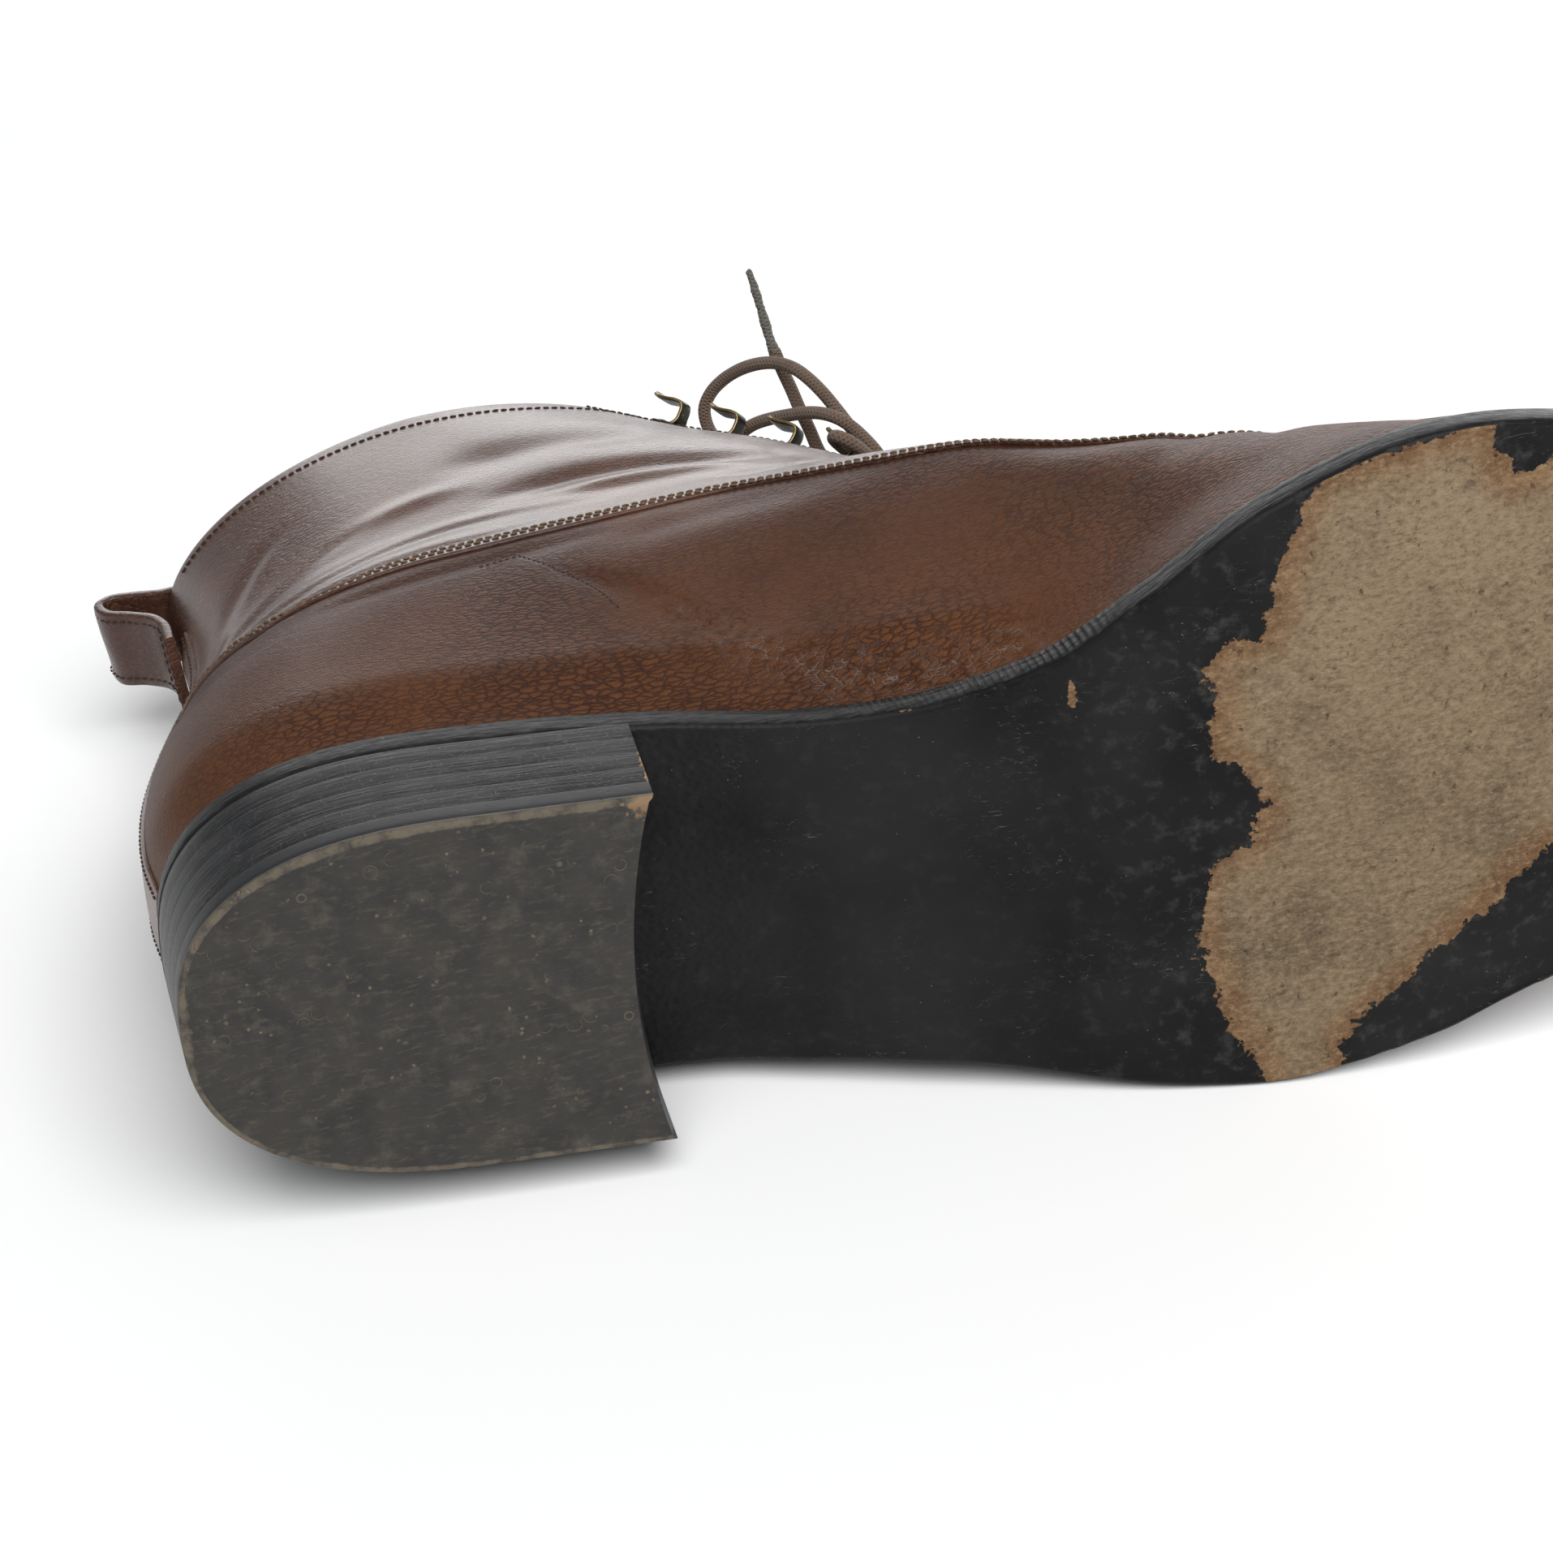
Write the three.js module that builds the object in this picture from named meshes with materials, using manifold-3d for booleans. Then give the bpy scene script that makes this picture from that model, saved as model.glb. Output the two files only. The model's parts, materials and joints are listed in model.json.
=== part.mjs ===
// Lace-up ankle boot for the left foot, empty, lying on its outer side. Millimetres, +Z up.
// The boot is drawn standing (x from heel to toe, y to the outer side, z up) and then laid down.
import * as THREE from 'three';
import { mergeVertices } from 'three/addons/utils/BufferGeometryUtils.js';
import Module from 'manifold-3d';

const wasm = await Module();
wasm.setup();
const { lerp, clamp, smoothstep, degToRad } = THREE.MathUtils;

// Driving dimensions of the sole and the heel
const soleLength = 300;
const ballWidth = 112;
const heelSeatWidth = 68.5;
const seatLength = 82;
const topPieceWidth = 66.2;
const topPieceLength = 79.5;
const topPieceInset = 2.2;
const topPieceThickness = 5;
const breastHollow = 4.3;
const heelTurn = degToRad(6.3);
const heelHeight = 24.4;
const heelBackRise = 1.7;
const liftCount = 4;
const outsoleThickness = 4.3;
const weltThickness = 2;
const weltWidth = 9;
const weltStep = 0.4;
const insoleThickness = 2.5;
const insoleClearance = 2.2;

// Driving dimensions of the upper
const wall = 2.2;
const lapStep = 0.7;
const collarHeight = 160;
const shaftWidth = 60;
const upperInset = 2.4;
const throatTop = 26;
const throatBottom = 20;
const throatLength = 64;
const tongueThickness = 2;
const tongueWidth = 46;
const tongueTuck = 14;
const tongueDrop = 1;
const tongueGap = 0.6;

// Driving dimensions of the trimmings
const hookPitch = 14;
const hookRows = 4;
const firstHook = 9.5;
const hookSetback = 6.5;
const hookWidth = 5;
const hookPlate = 0.9;
const hookSeat = 0.4;
const laceDiameter = 2.6;
const tipDiameter = 1.8;
const loopStrapWidth = 16;
const loopStrapThickness = 2;
const loopReach = 11;
const loopRise = 8;
const loopInsideGap = 4.6;

// Curved pieces stay this far apart, and the bent sole layers a little further.
const gap = 0.3;
const layerGap = 0.5;

// Underside of the outsole: height as a share of the heel height, place as a share of the sole length
const undersideRows = [
  { along: 0.27, up: 1 },
  { along: 0.30, up: 0.955 },
  { along: 0.35, up: 0.78 },
  { along: 0.417, up: 0.53 },
  { along: 0.483, up: 0.31 },
  { along: 0.55, up: 0.125 },
  { along: 0.617, up: 0.028 },
  { along: 0.683, up: 0 },
  { along: 0.75, up: 0.02 },
  { along: 0.817, up: 0.09 },
  { along: 0.883, up: 0.225 },
  { along: 0.95, up: 0.44 },
  { along: 1, up: 0.65 },
];

// Sole outline: middle and half width as shares of the ball width, place as a share of the sole length
const outlineRows = [
  { along: 0.20, middle: 0.020, half: 0.306 },
  { along: 0.27, middle: 0.043, half: 0.303 },
  { along: 0.36, middle: 0.067, half: 0.302 },
  { along: 0.433, middle: 0.076, half: 0.317 },
  { along: 0.50, middle: 0.077, half: 0.360 },
  { along: 0.567, middle: 0.049, half: 0.430 },
  { along: 0.633, middle: 0.004, half: 0.488 },
  { along: 0.70, middle: -0.034, half: 0.503 },
  { along: 0.767, middle: -0.057, half: 0.480 },
  { along: 0.833, middle: -0.057, half: 0.430 },
  { along: 0.883, middle: -0.044, half: 0.367 },
  { along: 0.933, middle: -0.020, half: 0.275 },
  { along: 0.967, middle: -0.002, half: 0.190 },
  { along: 0.99, middle: 0.008, half: 0.105 },
  { along: 1, middle: 0.010, half: 0 },
];

// Side profile of the upper from the toe to the front of the collar, as shares of sole length and collar height
const ridgeRows = [
  { along: 0.986, up: 0.142 },
  { along: 0.991, up: 0.186 },
  { along: 0.983, up: 0.228 },
  { along: 0.958, up: 0.262 },
  { along: 0.917, up: 0.283 },
  { along: 0.817, up: 0.322 },
  { along: 0.755, up: 0.349 },
  { along: 0.703, up: 0.389 },
  { along: 0.662, up: 0.438 },
  { along: 0.622, up: 0.501 },
  { along: 0.559, up: 0.639 },
  { along: 0.502, up: 0.788 },
  { along: 0.441, up: 0.920 },
  { along: 0.377, up: 1.078 },
];

// Side profile of the back, from the seat to the collar
const backRows = [
  { along: 0.004, up: 0.206 },
  { along: -0.002, up: 0.290 },
  { along: -0.0035, up: 0.385 },
  { along: -0.0005, up: 0.470 },
  { along: 0.008, up: 0.560 },
  { along: 0.018, up: 0.630 },
  { along: 0.029, up: 0.700 },
  { along: 0.032, up: 0.775 },
  { along: 0.028, up: 0.870 },
  { along: 0.020, up: 0.980 },
];

// Seam where the shaft laps over the galosh, from the back round the side to the top of the toe
const seamRows = [
  { along: 0.011, up: 0.606 },
  { along: 0.045, up: 0.588 },
  { along: 0.08, up: 0.556 },
  { along: 0.127, up: 0.541 },
  { along: 0.18, up: 0.538 },
  { along: 0.28, up: 0.546 },
  { along: 0.377, up: 0.531 },
  { along: 0.427, up: 0.497 },
  { along: 0.47, up: 0.463 },
  { along: 0.53, up: 0.425 },
  { along: 0.597, up: 0.353 },
  { along: 0.64, up: 0.315 },
  { along: 0.68, up: 0.291 },
  { along: 0.72, up: 0.280 },
  { along: 0.77, up: 0.277 },
  { along: 0.825, up: 0.290 },
  { along: 0.873, up: 0.3135 },
];

// Half width of the foot part over the feather, its ridge's rounding and the ridge's place across
const footRows = [
  { along: 0, half: 0.320, round: 0.46, ridge: -0.018 },
  { along: 0.27, half: 0.325, round: 0.46, ridge: -0.018 },
  { along: 0.36, half: 0.340, round: 0.42, ridge: -0.018 },
  { along: 0.433, half: 0.357, round: 0.36, ridge: -0.018 },
  { along: 0.50, half: 0.375, round: 0.36, ridge: -0.02 },
  { along: 0.567, half: 0.410, round: 0.42, ridge: -0.025 },
  { along: 0.633, half: 0.455, round: 0.46, ridge: -0.03 },
  { along: 0.70, half: 0.470, round: 0.46, ridge: -0.035 },
  { along: 0.767, half: 0.448, round: 0.46, ridge: -0.03 },
  { along: 0.85, half: 0.425, round: 0.44, ridge: -0.025 },
  { along: 1, half: 0.400, round: 0.38, ridge: 0 },
];

// Half width of the shaft by height, as shares of the shaft's width and the collar's height
const shaftRows = [
  { up: 0.4, half: 0.56 },
  { up: 0.56, half: 0.535 },
  { up: 0.7, half: 0.51 },
  { up: 0.85, half: 0.505 },
  { up: 1.1, half: 0.485 },
];

// Heel counter on the side: its top edge, then its front edge down to the feather
const counterTopRows = [
  { along: -0.03, up: 0.505 },
  { along: 0.05, up: 0.490 },
  { along: 0.12, up: 0.480 },
  { along: 0.18, up: 0.490 },
  { along: 0.25, up: 0.508 },
];
const counterFrontRows = [
  { up: 0.1, along: 0.395 },
  { up: 0.147, along: 0.378 },
  { up: 0.2, along: 0.346 },
  { up: 0.3, along: 0.315 },
  { up: 0.4, along: 0.293 },
  { up: 0.508, along: 0.25 },
];

// A smooth curve through two columns of a table, which doesn't overshoot between its rows
function through(rows, atKey, atSize, valueKey, valueSize) {
  const at = rows.map((row) => row[atKey] * atSize);
  const values = rows.map((row) => row[valueKey] * valueSize);
  const last = rows.length - 1;
  const rises = at.slice(1).map((end, i) => (values[i + 1] - values[i]) / (end - at[i]));
  const slopes = at.map((_, i) => {
    if (i === 0 || i === last) {
      return rises[Math.min(i, last - 1)];
    }
    const both = rises[i - 1] * rises[i];
    return both > 0 ? (2 * both) / (rises[i - 1] + rises[i]) : 0;
  });
  return (place) => {
    const x = clamp(place, at[0], at[last]);
    const next = at.findIndex((end) => end > x);
    const i = next < 0 ? last - 1 : next - 1;
    const span = at[i + 1] - at[i];
    const t = (x - at[i]) / span;
    const bend = t * (1 - t) * span;
    const chord = lerp(values[i], values[i + 1], t * t * (3 - 2 * t));
    return chord + bend * ((1 - t) * slopes[i] - t * slopes[i + 1]);
  };
}

// A smooth side profile through a table's rows, walked by its length from 0 to 1
function profile(rows, fromSole) {
  const points = rows.map((row) => new THREE.Vector3(row.along * soleLength, 0, row.up * collarHeight));
  if (fromSole) {
    points[0].z = feather(points[0].x);
  }
  const curve = new THREE.CatmullRomCurve3(points, false, 'centripetal');
  curve.arcLengthDivisions = 400;
  return curve;
}

// Reads one coordinate of a profile from the other
function crossing(curve, from, to) {
  const samples = curve.getPoints(400).sort((a, b) => a[from] - b[from]);
  const last = samples.length - 1;
  return (value) => {
    const next = samples.findIndex((sample) => sample[from] > value);
    const i = next < 0 ? last : Math.max(next, 1);
    const a = samples[i - 1];
    const b = samples[i];
    return lerp(a[to], b[to], clamp((value - a[from]) / (b[from] - a[from] || 1), 0, 1));
  };
}

// How far a rounded end has filled out, from 0 at its edge to 1 at its full width
function rounding(distance, reach, corner) {
  const share = clamp(distance / reach, 0, 1);
  return Math.pow(1 - Math.pow(1 - share, corner), 1 / corner);
}

const seatEnd = 0.27 * soleLength;
const turnCentre = 0.133 * soleLength;
const forepartUnderside = through(undersideRows, 'along', soleLength, 'up', heelHeight);
const outlineMiddle = through(outlineRows, 'along', soleLength, 'middle', ballWidth);
const outlineHalf = through(outlineRows, 'along', soleLength, 'half', ballWidth);
const seatRounding = 0.62 * seatLength;
const seatCorner = 2.52;

// The heel part of every outline is turned a little towards the outer side.
const turnAt = (x) => heelTurn * (1 - smoothstep(x, seatEnd - 25, seatEnd + 12));

function underside(x) {
  const seat = heelHeight + heelBackRise * (1 - x / seatEnd);
  return x < seatEnd ? seat : forepartUnderside(x);
}

const feather = (x) => underside(x) + outsoleThickness + weltThickness + 2 * layerGap;

function middleAt(x) {
  const seatMiddle = (x - turnCentre) * Math.tan(heelTurn);
  return lerp(seatMiddle, outlineMiddle(x), smoothstep(x, seatEnd - 25, seatEnd));
}

function halfAt(x) {
  const seatHalf = (heelSeatWidth / 2) * rounding(x, seatRounding, seatCorner);
  return lerp(seatHalf, outlineHalf(x), smoothstep(x, seatEnd - 25, seatEnd));
}

// Where the half width is smaller than this, an inset outline narrows in proportion.
const endHalf = 0.25 * ballWidth;

function insetHalf(x, inset) {
  const half = halfAt(x);
  return half > endHalf ? half - inset : half * (1 - inset / endHalf);
}

// A point of the sole's plan: share of its length, and across from -1 on the inner edge to 1 on the outer one
function planPoint(share, across, inset) {
  const x = lerp(inset, soleLength - inset, share);
  const half = insetHalf(share * soleLength, inset) * across;
  const turn = turnAt(x);
  return new THREE.Vector2(x - half * Math.sin(turn), middleAt(x) + half * Math.cos(turn));
}

// Places along a length that lie closer together towards both ends
const eased = (step, steps) => (1 - Math.cos((Math.PI * step) / steps)) / 2;

// Turns a list of triangles, three corners each, into a closed indexed geometry
function closedGeometry(corners) {
  const loose = new THREE.BufferGeometry();
  loose.setAttribute('position', new THREE.Float32BufferAttribute(corners.flatMap((p) => [p.x, p.y, p.z]), 3));
  const merged = mergeVertices(loose, 1e-3);
  const index = Array.from(merged.index.array);
  const kept = [];
  for (let i = 0; i < index.length; i += 3) {
    const [a, b, c] = index.slice(i, i + 3);
    if (a !== b && b !== c && c !== a) {
      kept.push(a, b, c);
    }
  }
  merged.setIndex(kept);
  return merged;
}

// A closed plate between two surfaces over the same square of u and v
function plate(top, bottom, uSteps, vSteps) {
  const corners = [];
  const quad = (a, b, c, d) => corners.push(a, b, c, a, c, d);
  for (let i = 0; i < uSteps; i++) {
    for (let j = 0; j < vSteps; j++) {
      quad(top(i, j), top(i + 1, j), top(i + 1, j + 1), top(i, j + 1));
      quad(bottom(i, j), bottom(i, j + 1), bottom(i + 1, j + 1), bottom(i + 1, j));
    }
    quad(bottom(i, 0), bottom(i + 1, 0), top(i + 1, 0), top(i, 0));
    quad(top(i, vSteps), top(i + 1, vSteps), bottom(i + 1, vSteps), bottom(i, vSteps));
  }
  for (let j = 0; j < vSteps; j++) {
    quad(top(0, j), top(0, j + 1), bottom(0, j + 1), bottom(0, j));
    quad(bottom(uSteps, j), bottom(uSteps, j + 1), top(uSteps, j + 1), top(uSteps, j));
  }
  return closedGeometry(corners);
}

// A closed ring: each station gives the same number of corners round the section
function ring(section, stations, sides, closed) {
  const corners = [];
  const count = closed ? stations : stations - 1;
  for (let i = 0; i < count; i++) {
    for (let j = 0; j < sides; j++) {
      const a = section(i, j);
      const b = section((i + 1) % stations, j);
      const c = section((i + 1) % stations, (j + 1) % sides);
      const d = section(i, (j + 1) % sides);
      corners.push(a, b, c, a, c, d);
    }
  }
  return closedGeometry(corners);
}

function toManifold(geometry) {
  const vertProperties = new Float32Array(geometry.attributes.position.array);
  const triVerts = new Uint32Array(geometry.index.array);
  return new wasm.Manifold(new wasm.Mesh({ numProp: 3, vertProperties, triVerts }));
}

function fromManifold(solid) {
  const mesh = solid.getMesh();
  const geometry = new THREE.BufferGeometry();
  geometry.setAttribute('position', new THREE.BufferAttribute(mesh.vertProperties, 3));
  geometry.setIndex(new THREE.BufferAttribute(mesh.triVerts, 1));
  return geometry;
}

// Joins a geometry's shared corners, so that it can be cut
function welded(geometry) {
  const bare = geometry.clone();
  bare.deleteAttribute('normal');
  bare.deleteAttribute('uv');
  return mergeVertices(bare, 1e-4);
}

// Turns a mesh inside out where its volume comes out negative
function facingOut(geometry) {
  const p = geometry.attributes.position;
  const index = geometry.index.array;
  const a = new THREE.Vector3();
  const b = new THREE.Vector3();
  const c = new THREE.Vector3();
  let volume = 0;
  for (let i = 0; i < index.length; i += 3) {
    a.fromBufferAttribute(p, index[i]);
    b.fromBufferAttribute(p, index[i + 1]);
    c.fromBufferAttribute(p, index[i + 2]);
    volume += a.dot(b.cross(c));
  }
  if (volume < 0) {
    for (let i = 0; i < index.length; i += 3) {
      [index[i + 1], index[i + 2]] = [index[i + 2], index[i + 1]];
    }
  }
  return geometry;
}

// Sole pieces
const soleSteps = 50;

function solePlate(inset, lower, upper, acrossSteps) {
  const at = (i, j, height) => {
    const plan = planPoint(eased(i, soleSteps), (2 * j) / acrossSteps - 1, inset);
    return new THREE.Vector3(plan.x, plan.y, height(plan.x));
  };
  return plate((i, j) => at(i, j, upper), (i, j) => at(i, j, lower), soleSteps, acrossSteps);
}

function makeOutsole() {
  return solePlate(0, underside, (x) => underside(x) + outsoleThickness, 2);
}

function makeInsole() {
  const inset = upperInset + wall + insoleClearance;
  return solePlate(inset, (x) => feather(x), (x) => feather(x) + insoleThickness, 2);
}

// A strip round the whole sole edge, between the outsole and the upper
function makeWelt() {
  const stations = 2 * soleSteps;
  const section = (i, j) => {
    const share = eased(i <= soleSteps ? i : stations - i, soleSteps);
    const plan = planPoint(share, i <= soleSteps ? 1 : -1, j === 0 || j === 3 ? weltStep : weltWidth);
    const low = underside(plan.x) + outsoleThickness + layerGap;
    return new THREE.Vector3(plan.x, plan.y, j < 2 ? low : low + weltThickness);
  };
  return facingOut(ring(section, stations, 4, true));
}

// The heel's outline narrows and moves forward a little from the seat down to the ground.
function heelPoint(level, u, v) {
  const back = topPieceInset * (1 - level);
  const length = lerp(topPieceLength, seatLength - 1, level);
  const half = lerp(topPieceWidth, heelSeatWidth, level) / 2;
  const front = length - breastHollow * (1 - v * v);
  const x = front * u;
  const y = v * half * rounding(x, seatRounding, seatCorner);
  const turned = new THREE.Vector2(back + x - turnCentre, y).rotateAround(new THREE.Vector2(), heelTurn);
  return new THREE.Vector2(turned.x + turnCentre, turned.y);
}

function makeHeelLayer(low, high) {
  const steps = 11;
  const across = 4;
  const at = (i, j, height) => {
    const u = 1 - Math.cos((Math.PI / 2) * (i / steps));
    const v = Math.sin((Math.PI / 2) * ((2 * j) / across - 1));
    const level = height(0) / heelHeight;
    const plan = heelPoint(clamp(level, 0, 1), u, v);
    return new THREE.Vector3(plan.x, plan.y, height(plan.x));
  };
  return plate((i, j) => at(i, j, high), (i, j) => at(i, j, low), steps, across);
}

// The upper's own function
const ridgeCurve = profile(ridgeRows, true);
const backCurve = profile(backRows, true);
const seamCurve = profile(seamRows, false);
const ridgeHeight = crossing(ridgeCurve, 'x', 'z');
const ridgeFront = crossing(ridgeCurve, 'z', 'x');
const backEdge = crossing(backCurve, 'z', 'x');
const footHalf = through(footRows, 'along', soleLength, 'half', ballWidth);
const ridgeRound = through(footRows, 'along', soleLength, 'round', ballWidth);
const ridgeMiddle = through(footRows, 'along', soleLength, 'ridge', ballWidth);
const shaftHalf = through(shaftRows, 'up', collarHeight, 'half', shaftWidth);
const counterTop = through(counterTopRows, 'along', soleLength, 'up', collarHeight);
const counterFront = through(counterFrontRows, 'up', collarHeight, 'along', soleLength);
const collarFront = ridgeCurve.getPoint(1);
const collarBack = backCurve.getPoint(1);
const collarSlope = 1.6;
const shaftReach = 0.95;
const shaftCorner = 2;

// Half width of the upper at a place of its side view
function upperHalf(x, z) {
  const low = feather(x);
  const front = ridgeFront(Math.min(z, collarFront.z));
  const top = x < collarFront.x ? collarFront.z + (collarFront.x - x) * collarSlope : ridgeHeight(x);
  const ahead = Math.max(front - x, 0);
  const above = Math.max(top - z, 0);
  const inward = (ahead * above) / (Math.hypot(ahead, above) || 1);
  const behind = Math.max(x - backEdge(z), 0);
  const upward = smoothstep(z, low, 0.6 * collarHeight);
  const base = lerp(footHalf(x), shaftHalf(z), smoothstep(z, 0.42 * collarHeight, 0.7 * collarHeight));
  const backReach = lerp(seatRounding, shaftReach * shaftWidth, upward);
  const backCorner = lerp(seatCorner, shaftCorner, upward);
  const body = base * rounding(inward, ridgeRound(x), 2.05) * rounding(behind, backReach, backCorner);
  const share = clamp((x - backEdge(z)) / (front - backEdge(z)), 0, 1);
  return lerp(insetHalf(share * soleLength, upperInset), body, smoothstep(z, low, low + 16));
}

function upperMiddle(x, z) {
  const low = feather(x);
  return lerp(middleAt(x), ridgeMiddle(x), smoothstep(z, low + 4, low + 62));
}

// Shares of the ridge's and the back's length at which the seam meets them
const seamRidge = 0.262;
const seamBack = 0.545;

// How far over the seam, as a share of the shaft, the ridge's pull on a ring stays close to the ridge
const seamCalm = 0.7;

// Side view of a ring: level 0 is the feather, 1 the seam over the galosh and 2 the collar.
function sidePoint(level, share) {
  const part = level <= 1 ? level : level - 1;
  const backAt = level <= 1 ? seamBack * part : lerp(seamBack, 1, part);
  const ridgeAt = level <= 1 ? seamRidge * part : lerp(seamRidge, 1, part);
  const start = backCurve.getPointAt(backAt);
  const end = ridgeCurve.getPointAt(ridgeAt);
  const lower = level <= 1 ? featherPoint(share) : seamPoint(share);
  const upper = level <= 1 ? seamPoint(share) : collarPoint(share);
  const ends = [level <= 1 ? featherPoint : seamPoint, level <= 1 ? seamPoint : collarPoint];
  const startShift = start.sub(ends[0](0).lerp(ends[1](0), part));
  const endShift = end.sub(ends[0](1).lerp(ends[1](1), part));
  const calm = level <= 1 ? 0 : 1 - smoothstep(part, 0, seamCalm);
  const pull = share + (share ** 3 - share) * calm;
  return lower.lerp(upper, part).addScaledVector(startShift, 1 - share).addScaledVector(endShift, pull);
}

function featherPoint(share) {
  const x = lerp(backCurve.getPoint(0).x, ridgeCurve.getPoint(0).x, share);
  return new THREE.Vector3(x, 0, feather(x));
}

const seamPoint = (share) => seamCurve.getPointAt(share);

function collarPoint(share) {
  const dip = 1.2 * Math.sin(Math.PI * share);
  return collarBack.clone().lerp(collarFront, share).add(new THREE.Vector3(0, 0, dip));
}

// A point of the upper's outer face: round 0 is the back, 1 the front, and 1 to 2 the inner side
function upperPoint(level, round) {
  const side = round <= 1 ? 1 : -1;
  const share = (1 - Math.cos(Math.PI * round)) / 2;
  const view = sidePoint(level, share);
  const half = upperHalf(view.x, view.z) * side;
  const turn = turnAt(view.x) * (1 - smoothstep(view.z, 0.4 * collarHeight, collarHeight));
  const y = upperMiddle(view.x, view.z) + half * Math.cos(turn);
  return new THREE.Vector3(view.x - half * Math.sin(turn), y, view.z);
}

function upperNormal(level, round) {
  const step = 0.01;
  const near = Math.max(level - step, 0);
  const far = Math.min(level + step, 2);
  const up = upperPoint(far, round).sub(upperPoint(near, round));
  const on = upperPoint(level, (round + step) % 2).sub(upperPoint(level, (round + 2 - step) % 2));
  const normal = up.cross(on);
  if (level < step || level > 2 - step) {
    normal.z = 0;
  }
  return normal.normalize();
}

// How far the lapped pieces stand out from the galosh
function lapAt(level, point) {
  const shaft = level > 1 ? 1 : 0;
  const below = counterTop(point.x) - point.z;
  const within = counterFront(point.z) - point.x;
  const counter = level <= 1 ? smoothstep(Math.min(below, within), -1, 1) : 0;
  return lapStep * Math.max(shaft, counter);
}

const lowerRings = 8;
const upperRings = 10;
const aroundSteps = 60;

function makeUpperShell() {
  const levels = [];
  for (let i = 0; i <= lowerRings; i++) {
    levels.push(i / lowerRings);
  }
  for (let i = 0; i <= upperRings; i++) {
    levels.push(1 + Math.max(i / upperRings, 0.004));
  }
  const outer = levels.map((level) => [...Array(aroundSteps).keys()].map((k) => {
    const round = (2 * k) / aroundSteps;
    const point = upperPoint(level, round);
    return point.clone().addScaledVector(upperNormal(level, round), lapAt(level, point));
  }));
  const inner = levels.map((level) => [...Array(aroundSteps).keys()].map((k) => {
    const round = (2 * k) / aroundSteps;
    return upperPoint(level, round).addScaledVector(upperNormal(level, round), -wall);
  }));
  const loop = [...outer, ...inner.reverse()];
  return facingOut(ring((i, j) => loop[i][j].clone(), loop.length, aroundSteps, true));
}

// The throat's own plane: down the ridge from the collar, across, and out of the boot
const throatStart = collarFront.clone();
const throatEnd = ridgeCurve.getPointAt(1 - throatLength / ridgeCurve.getLength());
const throatDown = throatEnd.clone().sub(throatStart).normalize();
const throatOut = new THREE.Vector3(0, 1, 0).cross(throatDown).negate().normalize();
const throatMiddle = ridgeMiddle(collarFront.x);

function throatHalf(down) {
  return lerp(throatTop, throatBottom, clamp(down / throatLength, 0, 1)) / 2;
}

function makeThroatCutter() {
  const shape = new THREE.Shape();
  const over = 25;
  const round = throatBottom / 2;
  shape.moveTo(-over, -throatHalf(0));
  shape.lineTo(0, -throatHalf(0));
  shape.lineTo(throatLength - round, -round);
  shape.absarc(throatLength - round, 0, round, -Math.PI / 2, Math.PI / 2, false);
  shape.lineTo(0, throatHalf(0));
  shape.lineTo(-over, throatHalf(0));
  const depth = 40;
  const geometry = new THREE.ExtrudeGeometry(shape, { depth, bevelEnabled: false, curveSegments: 8 });
  geometry.translate(0, 0, -depth / 2);
  const across = throatOut.clone().cross(throatDown);
  const frame = new THREE.Matrix4().makeBasis(throatDown, across, throatOut);
  frame.setPosition(throatStart.x, throatMiddle, throatStart.z);
  return welded(geometry.applyMatrix4(frame));
}

function makeUpper() {
  const shell = toManifold(makeUpperShell());
  return fromManifold(shell.subtract(toManifold(makeThroatCutter())));
}

// Ring level of the ridge at a length down from the collar
function levelDown(down) {
  const ridgeAt = 1 - down / ridgeCurve.getLength();
  return 1 + (ridgeAt - seamRidge) / (1 - seamRidge);
}

// Where round the ring a place lies that is this far across from the ridge, outer side positive
function roundAcross(level, across) {
  const step = across > 0 ? -0.004 : 0.004;
  let round = 1;
  let left = Math.abs(across);
  let here = upperPoint(level, round);
  while (left > 0) {
    const next = upperPoint(level, round + step);
    const length = next.distanceTo(here);
    if (length >= left) {
      return round + (step * left) / length;
    }
    left -= length;
    round += step;
    here = next;
  }
  return round;
}

// The tongue follows the inside of the throat and is tucked under the vamp below it.
function makeTongue() {
  const steps = 12;
  const across = 8;
  const rows = [...Array(steps + 1).keys()].map((i) => {
    const share = i / steps;
    const down = lerp(throatLength + tongueTuck, tongueDrop, share);
    const level = levelDown(down);
    const half = (tongueWidth / 2) * lerp(0.6, 1, Math.sqrt(share));
    return [...Array(across + 1).keys()].map((j) => {
      const round = roundAcross(level, half * (1 - (2 * j) / across));
      return { point: upperPoint(level, round), normal: upperNormal(level, round) };
    });
  });
  const at = (depth) => (i, j) => rows[i][j].point.clone().addScaledVector(rows[i][j].normal, -depth);
  return facingOut(plate(at(wall + tongueGap), at(wall + tongueGap + tongueThickness), steps, across));
}

// A flat strap of one width along y that follows a path in the side view
function makeStrap(path, width, thickness, middle, steps) {
  const curve = new THREE.CatmullRomCurve3(path.map(([x, z]) => new THREE.Vector3(x, 0, z)), false, 'centripetal');
  const at = (offset) => (i, j) => {
    const along = curve.getTangentAt(i / steps);
    const out = new THREE.Vector3(-along.z, 0, along.x).multiplyScalar(offset);
    const y = middle + (j - 0.5) * width;
    return curve.getPointAt(i / steps).add(out).add(new THREE.Vector3(0, y, 0));
  };
  return facingOut(plate(at(thickness / 2), at(-thickness / 2), steps, 1));
}

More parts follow.
